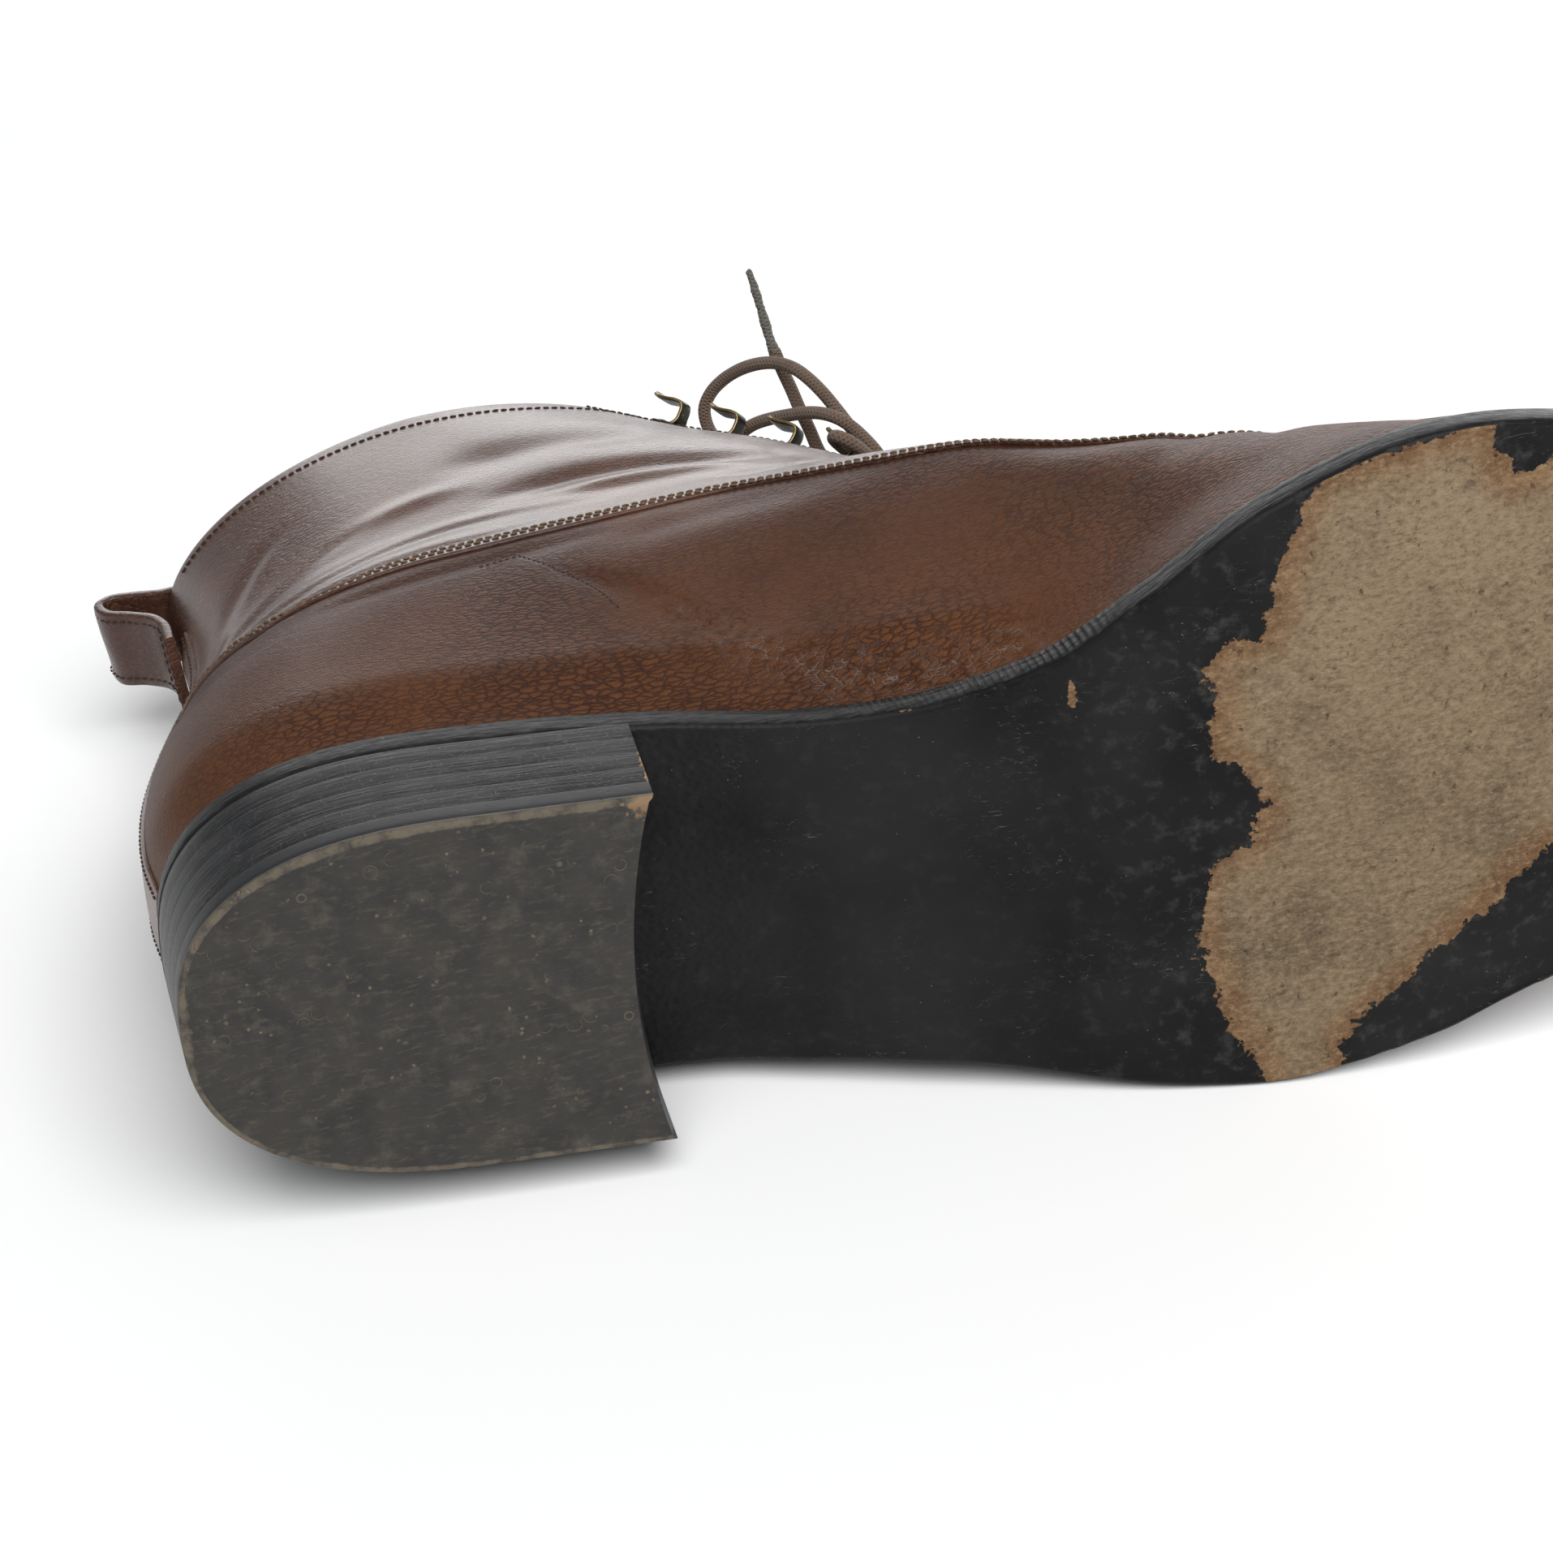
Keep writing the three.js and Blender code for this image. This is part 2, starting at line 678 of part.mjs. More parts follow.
// The pull loop leaves the back strip below the collar, folds back over the edge and ends inside.
function makePullLoop() {
  const off = lapStep + gap + loopStrapThickness / 2;
  const out = collarBack.x - off;
  const top = collarBack.z;
  const inside = collarBack.x + wall + loopInsideGap + loopStrapThickness / 2;
  const path = [
    [backEdge(top - 20) - off - 0.3, top - 20],
    [backEdge(top - 13) - off - 0.3, top - 13],
    [out - 1, top - 8],
    [out - 0.45 * loopReach, top - 5],
    [out - 0.85 * loopReach, top - 2.5],
    [out - loopReach, top + 0.35 * loopRise],
    [out - 0.8 * loopReach, top + 0.6 * loopRise],
    [out - 0.4 * loopReach, top + 0.5 * loopRise],
    [out + 1, top + 0.35 * loopRise],
    [inside - 1, top + 1.5],
    [inside + 0.6, top - 4],
    [inside + 1.2, top - 15],
  ];
  return makeStrap(path, loopStrapWidth, loopStrapThickness, upperMiddle(out, top), 36);
}

// Side view of a speed hook: its plate, its stem and the lip that points to the collar
const hookOutline = [
  [-3.5, 0],
  [3.2, 0],
  [3.2, hookPlate],
  [-2.5, hookPlate],
  [-2.5, 4.9],
  [3.8, 4.9],
  [5, 5.5],
  [4.6, 6.4],
  [3.6, 4.9 + hookPlate],
  [-2.9, 4.9 + hookPlate],
  [-3.5, 5.2],
];

// Where a hook sits: its x runs up the throat, its y out of the leather, its z to the outer side
function hookFrame(row, side) {
  const down = firstHook + row * hookPitch;
  const level = levelDown(down);
  const round = roundAcross(level, side * (throatHalf(down) + hookSetback));
  const up = throatDown.clone().negate();
  const normal = upperNormal(level, round);
  normal.addScaledVector(up, -normal.dot(up)).normalize();
  const seat = upperPoint(level, round).addScaledVector(normal, lapStep + hookSeat);
  return new THREE.Matrix4().makeBasis(up, normal, up.clone().cross(normal)).setPosition(seat);
}

function makeHook(row, side) {
  const shape = new THREE.Shape(hookOutline.map(([x, y]) => new THREE.Vector2(x, y)));
  const geometry = new THREE.ExtrudeGeometry(shape, { depth: hookWidth, bevelEnabled: false });
  geometry.translate(0, 0, -hookWidth / 2);
  return welded(geometry.applyMatrix4(hookFrame(row, side)));
}

// A round cord of eight sides along a list of points
function makeCord(points, steps, diameter = laceDiameter) {
  const curve = new THREE.CatmullRomCurve3(points, false, 'centripetal');
  const corners = [...Array(8).keys()].map((i) => {
    return new THREE.Vector2(diameter / 2, 0).rotateAround(new THREE.Vector2(), (Math.PI * i) / 4);
  });
  const options = { extrudePath: curve, steps, bevelEnabled: false };
  return welded(new THREE.ExtrudeGeometry(new THREE.Shape(corners), options));
}

// Lace routes over the throat: down from the collar, across to the outer side, out of the throat's plane
const loopRows = [
  { down: 55.4, across: -11.9, out: 4.4 },
  { down: 52.8, across: -13.6, out: 4.6 },
  { down: 50.0, across: -17.0, out: 4.6 },
  { down: 47.9, across: -18.9, out: 4.6 },
  { down: 45.4, across: -20.8, out: 4.4 },
  { down: 42.6, across: -23.0, out: 3.5 },
  { down: 37.3, across: -23.2, out: 3.5 },
  { down: 28.9, across: -21.6, out: 3.0 },
  { down: 20.6, across: -19.3, out: 2.0 },
  { down: 15.9, across: -16.8, out: 0.6 },
  { down: 12.9, across: -14.0, out: 0.3 },
  { down: 9.9, across: -13.6, out: 0.8 },
  { down: 8.3, across: -16.0, out: 1.4 },
  { down: 8.5, across: -19.2, out: 2.2 },
  { down: 9.3, across: -22.3, out: 3.6 },
  { down: 11.5, across: -25.2, out: 5.0 },
  { down: 15.7, across: -27.9, out: 6.0 },
  { down: 21.1, across: -29.9, out: 6.5 },
  { down: 25.2, across: -30.4, out: 7.0 },
  { down: 29.8, across: -29.9, out: 7.0 },
  { down: 33.2, across: -28.2, out: 7.0 },
  { down: 36.5, across: -25.6, out: 7.0 },
  { down: 39.2, across: -23.1, out: 6.8 },
  { down: 42.1, across: -20.2, out: 6.6 },
  { down: 45.2, across: -17.3, out: 6.4 },
  { down: 48.1, across: -14.4, out: 6.2 },
  { down: 50.6, across: -11.4, out: 6.0 },
];
const tailRows = [
  { down: 51.2, across: -6.9, out: 5.2 },
  { down: 47.3, across: -6.2, out: 5.6 },
  { down: 42.8, across: -7.0, out: 5.5 },
  { down: 37.8, across: -9.6, out: 5.5 },
  { down: 35.3, across: -11.4, out: 5.6 },
  { down: 33.5, across: -13.2, out: 6.0 },
  { down: 30.7, across: -17.0, out: 7.2 },
  { down: 27.8, across: -20.4, out: 8.4 },
  { down: 24.9, across: -23.6, out: 9.9 },
  { down: 22.4, across: -26.4, out: 11.0 },
  { down: 21.3, across: -28.9, out: 11.2 },
  { down: 20.4, across: -31.4, out: 11.3 },
];
const tipRows = [
  { down: 20.2, across: -32.2, out: 11.3 },
  { down: 19.1, across: -36.3, out: 11.6 },
  { down: 17.7, across: -42.1, out: 12.0 },
  { down: 16.3, across: -47.0, out: 12.3 },
];
const hiddenRows = [
  { down: 53.2, across: -3.8, out: 5.1 },
  { down: 47.0, across: -0.5, out: 5.0 },
  { down: 40.0, across: 4.6, out: 4.0 },
  { down: 31.0, across: 9.4, out: 3.0 },
  { down: 22.0, across: 13.0, out: 2.0 },
  { down: 14.0, across: 15.6, out: 1.4 },
  { down: 9.0, across: 16.8, out: 1.2 },
];
const knotPlace = { down: 55.4, across: -7.4, out: 4.4 };
const knotSize = { down: 7, across: 6.6, out: 5.6 };

function throatPoint({ down, across, out }) {
  const base = throatStart.clone().addScaledVector(throatDown, down).addScaledVector(throatOut, out);
  return base.setY(across);
}

function makeKnot() {
  const geometry = new THREE.SphereGeometry(0.5, 12, 8);
  geometry.scale(knotSize.down, knotSize.across, knotSize.out);
  const frame = new THREE.Matrix4().makeBasis(throatDown, throatOut.clone().cross(throatDown), throatOut);
  return welded(geometry.applyMatrix4(frame.setPosition(throatPoint(knotPlace))));
}

// The lace comes up at the throat's foot, goes round the lowest pair of hooks and over the tongue.
function makeCrossings() {
  const row = hookRows - 1;
  const strand = (side) => {
    const frame = hookFrame(row, side);
    const at = (up, out, away) => new THREE.Vector3(up, out, away * side).applyMatrix4(frame);
    return [
      throatPoint({ down: throatLength - 3.4, across: throatMiddle - side * 2.6, out: -1 }),
      throatPoint({ down: throatLength - 3.6, across: throatMiddle + side * 3.4, out: 1.5 }),
      throatPoint({ down: throatLength - 3.9, across: throatMiddle + side * 9.5, out: 1.4 }),
      at(-5.8, 2.9, 0.5),
      at(-5.2, 2.9, 4.0),
      at(-2.8, 2.9, 6.1),
      at(-0.6, 2.9, 4.6),
      at(-0.6, 2.9, 0),
      at(-0.6, 3.4, -4),
      throatPoint({ down: 53.2, across: throatMiddle + side * 7.6, out: 0.9 }),
      throatPoint({ down: 54.2, across: throatMiddle + side * 2, out: -0.9 }),
      throatPoint({ down: 54.4, across: throatMiddle - side * 1, out: -1.1 }),
    ];
  };
  return fromManifold(toManifold(makeCord(strand(-1), 26)).add(toManifold(makeCord(strand(1), 26))));
}

const boot = new THREE.Group();

function addPiece(name, geometry, color, roughness, metalness = 0) {
  const mesh = new THREE.Mesh(geometry, new THREE.MeshStandardMaterial({ color, roughness, metalness }));
  mesh.name = name;
  boot.add(mesh);
}

const leatherBrown = 0x5a2a1b;
const edgeBlack = 0x17171a;
addPiece('upper', makeUpper(), leatherBrown, 0.45);
addPiece('tongue', makeTongue(), 0x4c2418, 0.5);
addPiece('outsole', makeOutsole(), edgeBlack, 0.4);
addPiece('welt', makeWelt(), edgeBlack, 0.5);
addPiece('insole', makeInsole(), 0xb08a62, 0.8);
addPiece('heel_top_piece', makeHeelLayer(() => 0, () => topPieceThickness), 0x2f2b28, 0.9);
for (let i = 0; i < liftCount; i++) {
  const height = (x, share) => lerp(topPieceThickness, underside(x), share);
  const low = (x) => height(x, i / liftCount) + gap;
  const high = (x) => height(x, (i + 1) / liftCount) - (i === liftCount - 1 ? gap : 0);
  addPiece(`heel_lift_${i + 1}`, makeHeelLayer(low, high), 0x1c1b1d, 0.5);
}
addPiece('pull_loop', makePullLoop(), leatherBrown, 0.5);
for (let i = 0; i < hookRows; i++) {
  addPiece(`hook_inner_${i + 1}`, makeHook(i, -1), 0x2a2620, 0.35, 0.8);
  addPiece(`hook_outer_${i + 1}`, makeHook(i, 1), 0x2a2620, 0.35, 0.8);
}
const laceBrown = 0x4d3b31;
addPiece('lace_crossings', makeCrossings(), laceBrown, 0.8);
const cords = {
  lace_knot: makeKnot(),
  lace_loop: makeCord(loopRows.map(throatPoint), 50),
  lace_tail: makeCord(tailRows.map(throatPoint), 20),
  lace_tip: makeCord(tipRows.map(throatPoint), 4, tipDiameter),
  lace_hidden_end: makeCord(hiddenRows.map(throatPoint), 14),
};
for (const [name, geometry] of Object.entries(cords)) {
  addPiece(name, geometry, laceBrown, 0.8);
}

// The boot lies where its middle of mass is lowest over the floor: a search over small tilts.
const lying = new THREE.Matrix4().makeBasis(
  new THREE.Vector3(1, 0, 0),
  new THREE.Vector3(0, 0, -1),
  new THREE.Vector3(0, 1, 0),
);

function massMiddle(meshes) {
  const sum = new THREE.Vector3();
  let total = 0;
  for (const { geometry } of meshes) {
    const p = geometry.attributes.position;
    const index = geometry.index.array;
    for (let i = 0; i < index.length; i += 3) {
      const [a, b, c] = [0, 1, 2].map((k) => new THREE.Vector3().fromBufferAttribute(p, index[i + k]));
      const volume = a.dot(b.clone().cross(c)) / 6;
      sum.addScaledVector(a.add(b).add(c), volume / 4);
      total += volume;
    }
  }
  return sum.divideScalar(total);
}

function restTurn(points, middle) {
  const height = (a, b) => {
    const up = new THREE.Vector3(a, b, 1).normalize();
    return points.reduce((most, point) => Math.max(most, -up.dot(point)), -Infinity) + up.dot(middle);
  };
  let best = { a: 0, b: 0, height: height(0, 0) };
  for (let step = 0.2; step > 1e-6; step /= 1.5) {
    for (let k = 0; k < 24; k++) {
      const a = best.a + step * Math.cos((Math.PI * k) / 12);
      const b = best.b + step * Math.sin((Math.PI * k) / 12);
      const found = height(a, b);
      if (found < best.height) {
        best = { a, b, height: found };
      }
    }
  }
  const up = new THREE.Vector3(best.a, best.b, 1).normalize();
  return new THREE.Quaternion().setFromUnitVectors(up, new THREE.Vector3(0, 0, 1));
}

const bodyMeshes = boot.children.filter((mesh) => !(mesh.name in cords));
const bodyPoints = bodyMeshes.flatMap(({ geometry }) => {
  const laid = geometry.attributes.position.clone().applyMatrix4(lying);
  return [...Array(laid.count).keys()].map((i) => new THREE.Vector3().fromBufferAttribute(laid, i));
});
const turn = restTurn(bodyPoints, massMiddle(bodyMeshes).applyMatrix4(lying));
const box = new THREE.Box3().setFromPoints(bodyPoints.map((point) => point.applyQuaternion(turn)));
boot.matrixAutoUpdate = false;
boot.matrix.makeRotationFromQuaternion(turn).multiply(lying);
boot.matrix.setPosition(-(box.min.x + box.max.x) / 2, -(box.min.y + box.max.y) / 2, -box.min.z);

const object = new THREE.Group();
object.add(boot);
export default object;
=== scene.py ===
"""Looks of a lace-up ankle boot that lies on its outer side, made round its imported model."""
import json
import math

import bmesh
import bpy
import numpy as np
from bpy.props import FloatProperty, FloatVectorProperty, IntProperty, PointerProperty
from mathutils import Matrix, Vector


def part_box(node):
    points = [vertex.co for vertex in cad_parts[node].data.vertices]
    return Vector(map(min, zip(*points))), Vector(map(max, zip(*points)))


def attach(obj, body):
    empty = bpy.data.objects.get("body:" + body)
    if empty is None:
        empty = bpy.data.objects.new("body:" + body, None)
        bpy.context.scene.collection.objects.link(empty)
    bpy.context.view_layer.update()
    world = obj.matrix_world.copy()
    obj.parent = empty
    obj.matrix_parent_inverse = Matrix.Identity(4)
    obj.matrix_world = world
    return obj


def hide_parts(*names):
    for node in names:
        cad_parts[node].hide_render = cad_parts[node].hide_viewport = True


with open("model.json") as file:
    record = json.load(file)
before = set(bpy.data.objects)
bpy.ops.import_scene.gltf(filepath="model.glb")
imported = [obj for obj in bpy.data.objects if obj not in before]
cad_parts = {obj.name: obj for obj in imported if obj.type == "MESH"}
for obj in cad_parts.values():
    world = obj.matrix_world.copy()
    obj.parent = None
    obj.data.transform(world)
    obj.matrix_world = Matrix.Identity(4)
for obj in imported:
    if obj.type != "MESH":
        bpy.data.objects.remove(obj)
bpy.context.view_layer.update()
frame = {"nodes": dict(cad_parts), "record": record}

bl_info = {
    "name": "Lace-up ankle boot",
    "version": (1, 0, 0),
    "blender": (4, 5, 0),
    "location": "3D View > Sidebar > Boot",
    "description": "Makes the leather, sole, hooks and lace of an ankle boot round its packed model",
    "category": "Add Mesh",
}

MM = 0.001


def size(name, description, default):
    return FloatProperty(name=name, description=description, default=default, unit="LENGTH", precision=5)


def tint(name, description, default):
    return FloatVectorProperty(
        name=name, description=description, default=default, subtype="COLOR", size=3, min=0, max=1
    )


class BootSizes(bpy.types.PropertyGroup):
    """Driving dimensions of the boot, the same as its solids have."""

    sole_length: size("Sole length", "From the heel's back to the toe", 0.300)
    ball_width: size("Ball width", "Width of the sole at the ball", 0.112)
    heel_seat_width: size("Heel seat width", "Width of the heel where it meets the sole", 0.0685)
    seat_length: size("Seat length", "From the heel's back to its breast", 0.082)
    top_piece_width: size("Top piece width", "Width of the heel on the ground", 0.0662)
    top_piece_length: size("Top piece length", "Length of the heel on the ground", 0.0795)
    top_piece_inset: size("Top piece inset", "How far the heel slopes in at the back", 0.0022)
    top_piece_thickness: size("Top piece thickness", "Thickness of the heel's rubber", 0.005)
    breast_hollow: size("Breast hollow", "How far the heel's breast curves in", 0.0043)
    heel_turn: FloatProperty(
        name="Heel turn", description="Turn of the heel to the outer side", default=math.radians(6.3),
        subtype="ANGLE",
    )
    heel_height: size("Heel height", "Height of the seat at the breast", 0.0244)
    heel_back_rise: size("Heel back rise", "How much higher the seat is at the back", 0.0017)
    lift_count: IntProperty(name="Lifts", description="Leather layers of the heel", default=4, min=1)
    outsole_thickness: size("Outsole thickness", "Thickness of the outer sole", 0.0043)
    welt_thickness: size("Welt thickness", "Thickness of the strip over the sole", 0.002)
    welt_step: size("Welt step", "How far the welt stands back from the sole's edge", 0.0004)
    layer_gap: size("Layer gap", "Room between the sole's layers in the solids", 0.0005)
    wall: size("Upper wall", "Leather and lining together", 0.0022)
    lap: size("Lap", "Height of a lapped edge", 0.0007)
    collar_height: size("Collar height", "From the ground to the collar", 0.160)
    shaft_width: size("Shaft width", "Width of the shaft", 0.060)
    upper_inset: size("Upper inset", "How far the upper stands back from the sole's edge", 0.0024)
    throat_top: size("Throat top", "Opening between the facings at the collar", 0.026)
    throat_bottom: size("Throat bottom", "Opening between the facings at the foot", 0.020)
    throat_length: size("Throat length", "From the collar to the opening's foot", 0.064)
    tongue_thickness: size("Tongue thickness", "Thickness of the tongue", 0.002)
    tongue_width: size("Tongue width", "Width of the tongue at the collar", 0.046)
    tongue_tuck: size("Tongue tuck", "How far the tongue goes on under the vamp", 0.014)
    tongue_drop: size("Tongue drop", "How far the tongue ends below the collar", 0.001)
    tongue_gap: size("Tongue gap", "Room between the tongue and the facings", 0.0006)
    hook_pitch: size("Hook pitch", "From one hook to the next", 0.014)
    first_hook: size("First hook", "From the collar to the top hook", 0.0095)
    hook_setback: size("Hook setback", "From the facing's edge to the hooks", 0.0065)
    hook_width: size("Hook width", "Width of a hook", 0.005)
    hook_rows: IntProperty(name="Hook rows", description="Pairs of hooks", default=4, min=1)
    lace_diameter: size("Lace diameter", "Thickness of the round lace", 0.0026)
    tip_diameter: size("Tip diameter", "Thickness of the lace's worn end", 0.0018)
    loop_width: size("Pull loop width", "Width of the pull loop and the back strip", 0.016)
    loop_thickness: size("Pull loop thickness", "Thickness of the pull loop", 0.002)
    loop_reach: size("Pull loop reach", "How far the pull loop stands out", 0.011)
    loop_rise: size("Pull loop rise", "How far the pull loop stands up", 0.008)
    stitch_pitch: size("Stitch pitch", "From one stitch to the next", 0.0017)
    thread: size("Thread", "Thickness of the seam thread", 0.00055)


class BootColours(bpy.types.PropertyGroup):
    """Colours of the boot's leathers, rubber, metal and lace."""

    leather: tint("Leather", "Chestnut of the upper", (0.100, 0.037, 0.014))
    leather_dark: tint("Dark leather", "Chestnut where it is darkest", (0.034, 0.012, 0.007))
    lining: tint("Lining", "Leather inside the boot", (0.30, 0.17, 0.09))
    tongue: tint("Tongue", "Leather of the tongue", (0.062, 0.022, 0.013))
    black: tint("Blacking", "Black wax of sole, welt and heel", (0.006, 0.006, 0.0065))
    worn: tint("Worn sole", "Bare leather worn grey-brown", (0.205, 0.150, 0.092))
    worn_rim: tint("Worn rim", "Bare leather at the edge of the wear", (0.155, 0.076, 0.034))
    rubber: tint("Rubber", "Heel rubber", (0.034, 0.030, 0.026))
    thread: tint("Thread", "Seam thread", (0.150, 0.088, 0.048))
    brass: tint("Brass", "Metal where the hooks' finish is worn", (0.62, 0.43, 0.16))
    lace: tint("Lace", "Woven lace", (0.165, 0.105, 0.070))
    floor: tint("Floor", "Studio floor", (0.93, 0.93, 0.925))


# Underside of the outsole: place as a share of the sole length, height as a share of the heel height
UNDERSIDE = [
    (0.27, 1), (0.30, 0.955), (0.35, 0.78), (0.417, 0.53), (0.483, 0.31), (0.55, 0.125), (0.617, 0.028),
    (0.683, 0), (0.75, 0.02), (0.817, 0.09), (0.883, 0.225), (0.95, 0.44), (1, 0.65),
]

# Sole outline: place as a share of the sole length, then middle and half width of the ball width
OUTLINE = [
    (0.20, 0.020, 0.306), (0.27, 0.043, 0.303), (0.36, 0.067, 0.302), (0.433, 0.076, 0.317),
    (0.50, 0.077, 0.360), (0.567, 0.049, 0.430), (0.633, 0.004, 0.488), (0.70, -0.034, 0.503),
    (0.767, -0.057, 0.480), (0.833, -0.057, 0.430), (0.883, -0.044, 0.367), (0.933, -0.020, 0.275),
    (0.967, -0.002, 0.190), (0.99, 0.008, 0.105), (1, 0.010, 0),
]

# Side views in shares of the sole length and the collar height: ridge, back, and seam over the galosh
RIDGE = [
    (0.986, 0.142), (0.991, 0.186), (0.983, 0.228), (0.958, 0.262), (0.917, 0.283), (0.817, 0.322),
    (0.755, 0.349), (0.703, 0.389), (0.662, 0.438), (0.622, 0.501), (0.559, 0.639), (0.502, 0.788),
    (0.441, 0.920), (0.377, 1.078),
]
BACK = [
    (0.004, 0.206), (-0.002, 0.290), (-0.0035, 0.385), (-0.0005, 0.470), (0.008, 0.560), (0.018, 0.630),
    (0.029, 0.700), (0.032, 0.775), (0.028, 0.870), (0.020, 0.980),
]
SEAM = [
    (0.011, 0.606), (0.045, 0.588), (0.08, 0.556), (0.127, 0.541), (0.18, 0.538), (0.28, 0.546),
    (0.377, 0.531), (0.427, 0.497), (0.47, 0.463), (0.53, 0.425), (0.597, 0.353), (0.64, 0.315),
    (0.68, 0.291), (0.72, 0.280), (0.77, 0.277), (0.825, 0.290), (0.873, 0.3135),
]

# Place as a share of the sole length, then half width, ridge rounding and ridge middle of the ball width
FOOT = [
    (0, 0.320, 0.46, -0.018), (0.27, 0.325, 0.46, -0.018), (0.36, 0.340, 0.42, -0.018),
    (0.433, 0.357, 0.36, -0.018), (0.50, 0.375, 0.36, -0.02), (0.567, 0.410, 0.42, -0.025),
    (0.633, 0.455, 0.46, -0.03), (0.70, 0.470, 0.46, -0.035), (0.767, 0.448, 0.46, -0.03),
    (0.85, 0.425, 0.44, -0.025), (1, 0.400, 0.38, 0),
]

# Height as a share of the collar height, half width of the shaft width
SHAFT = [(0.4, 0.56), (0.56, 0.535), (0.7, 0.51), (0.85, 0.505), (1.1, 0.485)]

# Heel counter: its top edge by place, and its front edge by height, in the same shares
COUNTER_TOP = [(-0.03, 0.505), (0.05, 0.490), (0.12, 0.480), (0.18, 0.490), (0.25, 0.508)]
COUNTER_FRONT = [(0.1, 0.395), (0.147, 0.378), (0.2, 0.346), (0.3, 0.315), (0.4, 0.293), (0.508, 0.25)]

# Soft folds of the leather: side views in shares of sole length and collar height, width and depth in mm
FOLDS = [
    {"path": [(0.030, 0.615), (0.055, 0.70), (0.085, 0.80), (0.12, 0.88)], "width": 3.0, "depth": 1.3},
    {"path": [(0.032, 0.600), (0.08, 0.665), (0.14, 0.735), (0.21, 0.78)], "width": 2.8, "depth": 1.2},
    {"path": [(0.034, 0.590), (0.11, 0.625), (0.20, 0.660), (0.29, 0.675)], "width": 2.4, "depth": 1.0},
    {"path": [(0.034, 0.575), (0.12, 0.590), (0.22, 0.600), (0.31, 0.600)], "width": 1.9, "depth": 0.7},
    {"path": [(0.045, 0.66), (0.075, 0.76), (0.115, 0.86)], "width": 3.2, "depth": -1.0},
    {"path": [(0.050, 0.635), (0.11, 0.705), (0.18, 0.765), (0.25, 0.79)], "width": 3.0, "depth": -1.0},
    {"path": [(0.060, 0.608), (0.15, 0.648), (0.25, 0.675), (0.33, 0.66)], "width": 2.6, "depth": -0.8},
    {"path": [(0.20, 0.83), (0.29, 0.86), (0.38, 0.83)], "width": 6.0, "depth": 0.9},
    {"path": [(0.22, 0.72), (0.30, 0.745), (0.38, 0.72), (0.45, 0.67)], "width": 3.4, "depth": 1.1},
    {"path": [(0.27, 0.70), (0.34, 0.70), (0.42, 0.66)], "width": 3.0, "depth": -0.8},
    {"path": [(0.36, 0.64), (0.43, 0.60), (0.50, 0.55)], "width": 3.2, "depth": 0.9},
    {"path": [(0.09, 0.520), (0.17, 0.512), (0.25, 0.525), (0.33, 0.52)], "width": 2.4, "depth": 0.8},
    {"path": [(0.245, 0.475), (0.30, 0.405), (0.34, 0.30), (0.38, 0.22)], "width": 2.6, "depth": 0.6},
    {"path": [(0.28, 0.50), (0.38, 0.49), (0.46, 0.45)], "width": 4.5, "depth": 0.6},
    {"path": [(0.60, 0.21), (0.63, 0.29), (0.66, 0.37)], "width": 4.0, "depth": 0.6},
    {"path": [(0.66, 0.20), (0.685, 0.27), (0.70, 0.34)], "width": 3.5, "depth": 0.7},
    {"path": [(0.71, 0.19), (0.73, 0.25), (0.745, 0.31)], "width": 4.0, "depth": 0.5},
]

# Where the waist bends: a line of the side view in shares of sole length and collar height
CREASE = [(0.245, 0.470), (0.30, 0.405), (0.34, 0.300), (0.38, 0.215), (0.43, 0.150), (0.50, 0.115)]

# Bare leather under the forepart, as places in mm of a standing boot: forward, and to the outer side
WORN_OUTLINE = [
    (225, -62), (199, -58), (194, -50), (191, -45), (188.5, -37), (186.5, -32), (179, -30.5),
    (176.4, -28), (178.7, -22), (177, -12), (181, -8), (184.7, -1), (182.4, 2), (180, 6), (175.6, 8.3),
    (172.3, 14), (170.8, 27), (174, 39), (178.7, 52), (181, 62), (192, 60), (194.5, 49), (201, 42),
    (210, 36), (219, 30.4), (227, 24.4), (234, 20), (246, 17), (257, 12), (266, 3), (269, -9),
    (266, -24), (259, -36), (250, -44), (241, -50.5), (231, -51.5), (228.5, -56), (229, -62),
]

# Where the camera of the photograph stands beside a standing boot, what it looks at, and its upward way
CAMERA_PLACE = (0.057568, -0.313040, -0.510407)
CAMERA_WAY = (0.080393, 0.489123, 0.868502)
CAMERA_UP = (0.220251, -0.858502, 0.463103)
CAMERA_FOCUS = 4500
PHOTO_WIDTH = 1914
SENSOR = 36

# Lace routes over the throat, as in the part's source: mm down from the collar, across and out
LOOP_ROUTE = [
    (55.4, -11.9, 4.4), (52.8, -13.6, 4.6), (50.0, -17.0, 4.6), (47.9, -18.9, 4.6), (45.4, -20.9, 4.4),
    (42.5, -22.9, 3.6), (37.2, -23.2, 3.5), (29.0, -21.4, 2.9), (21.2, -18.7, 1.8), (17.0, -16.0, 0.2),
    (13.7, -14.1, 0.2), (10.3, -14.3, 0.8), (7.9, -16.4, 1.6), (7.1, -19.4, 2.5), (8.3, -22.4, 3.8),
    (11.1, -25.2, 5.1), (15.6, -27.9, 6.0), (21.1, -29.9, 6.5), (25.2, -30.4, 7.0), (29.8, -29.9, 7.0),
    (33.2, -28.2, 7.0), (36.5, -25.6, 7.0), (39.2, -23.1, 6.8), (42.1, -20.2, 6.6), (45.2, -17.3, 6.4),
    (48.1, -14.4, 6.2), (50.6, -11.4, 6.0),
]
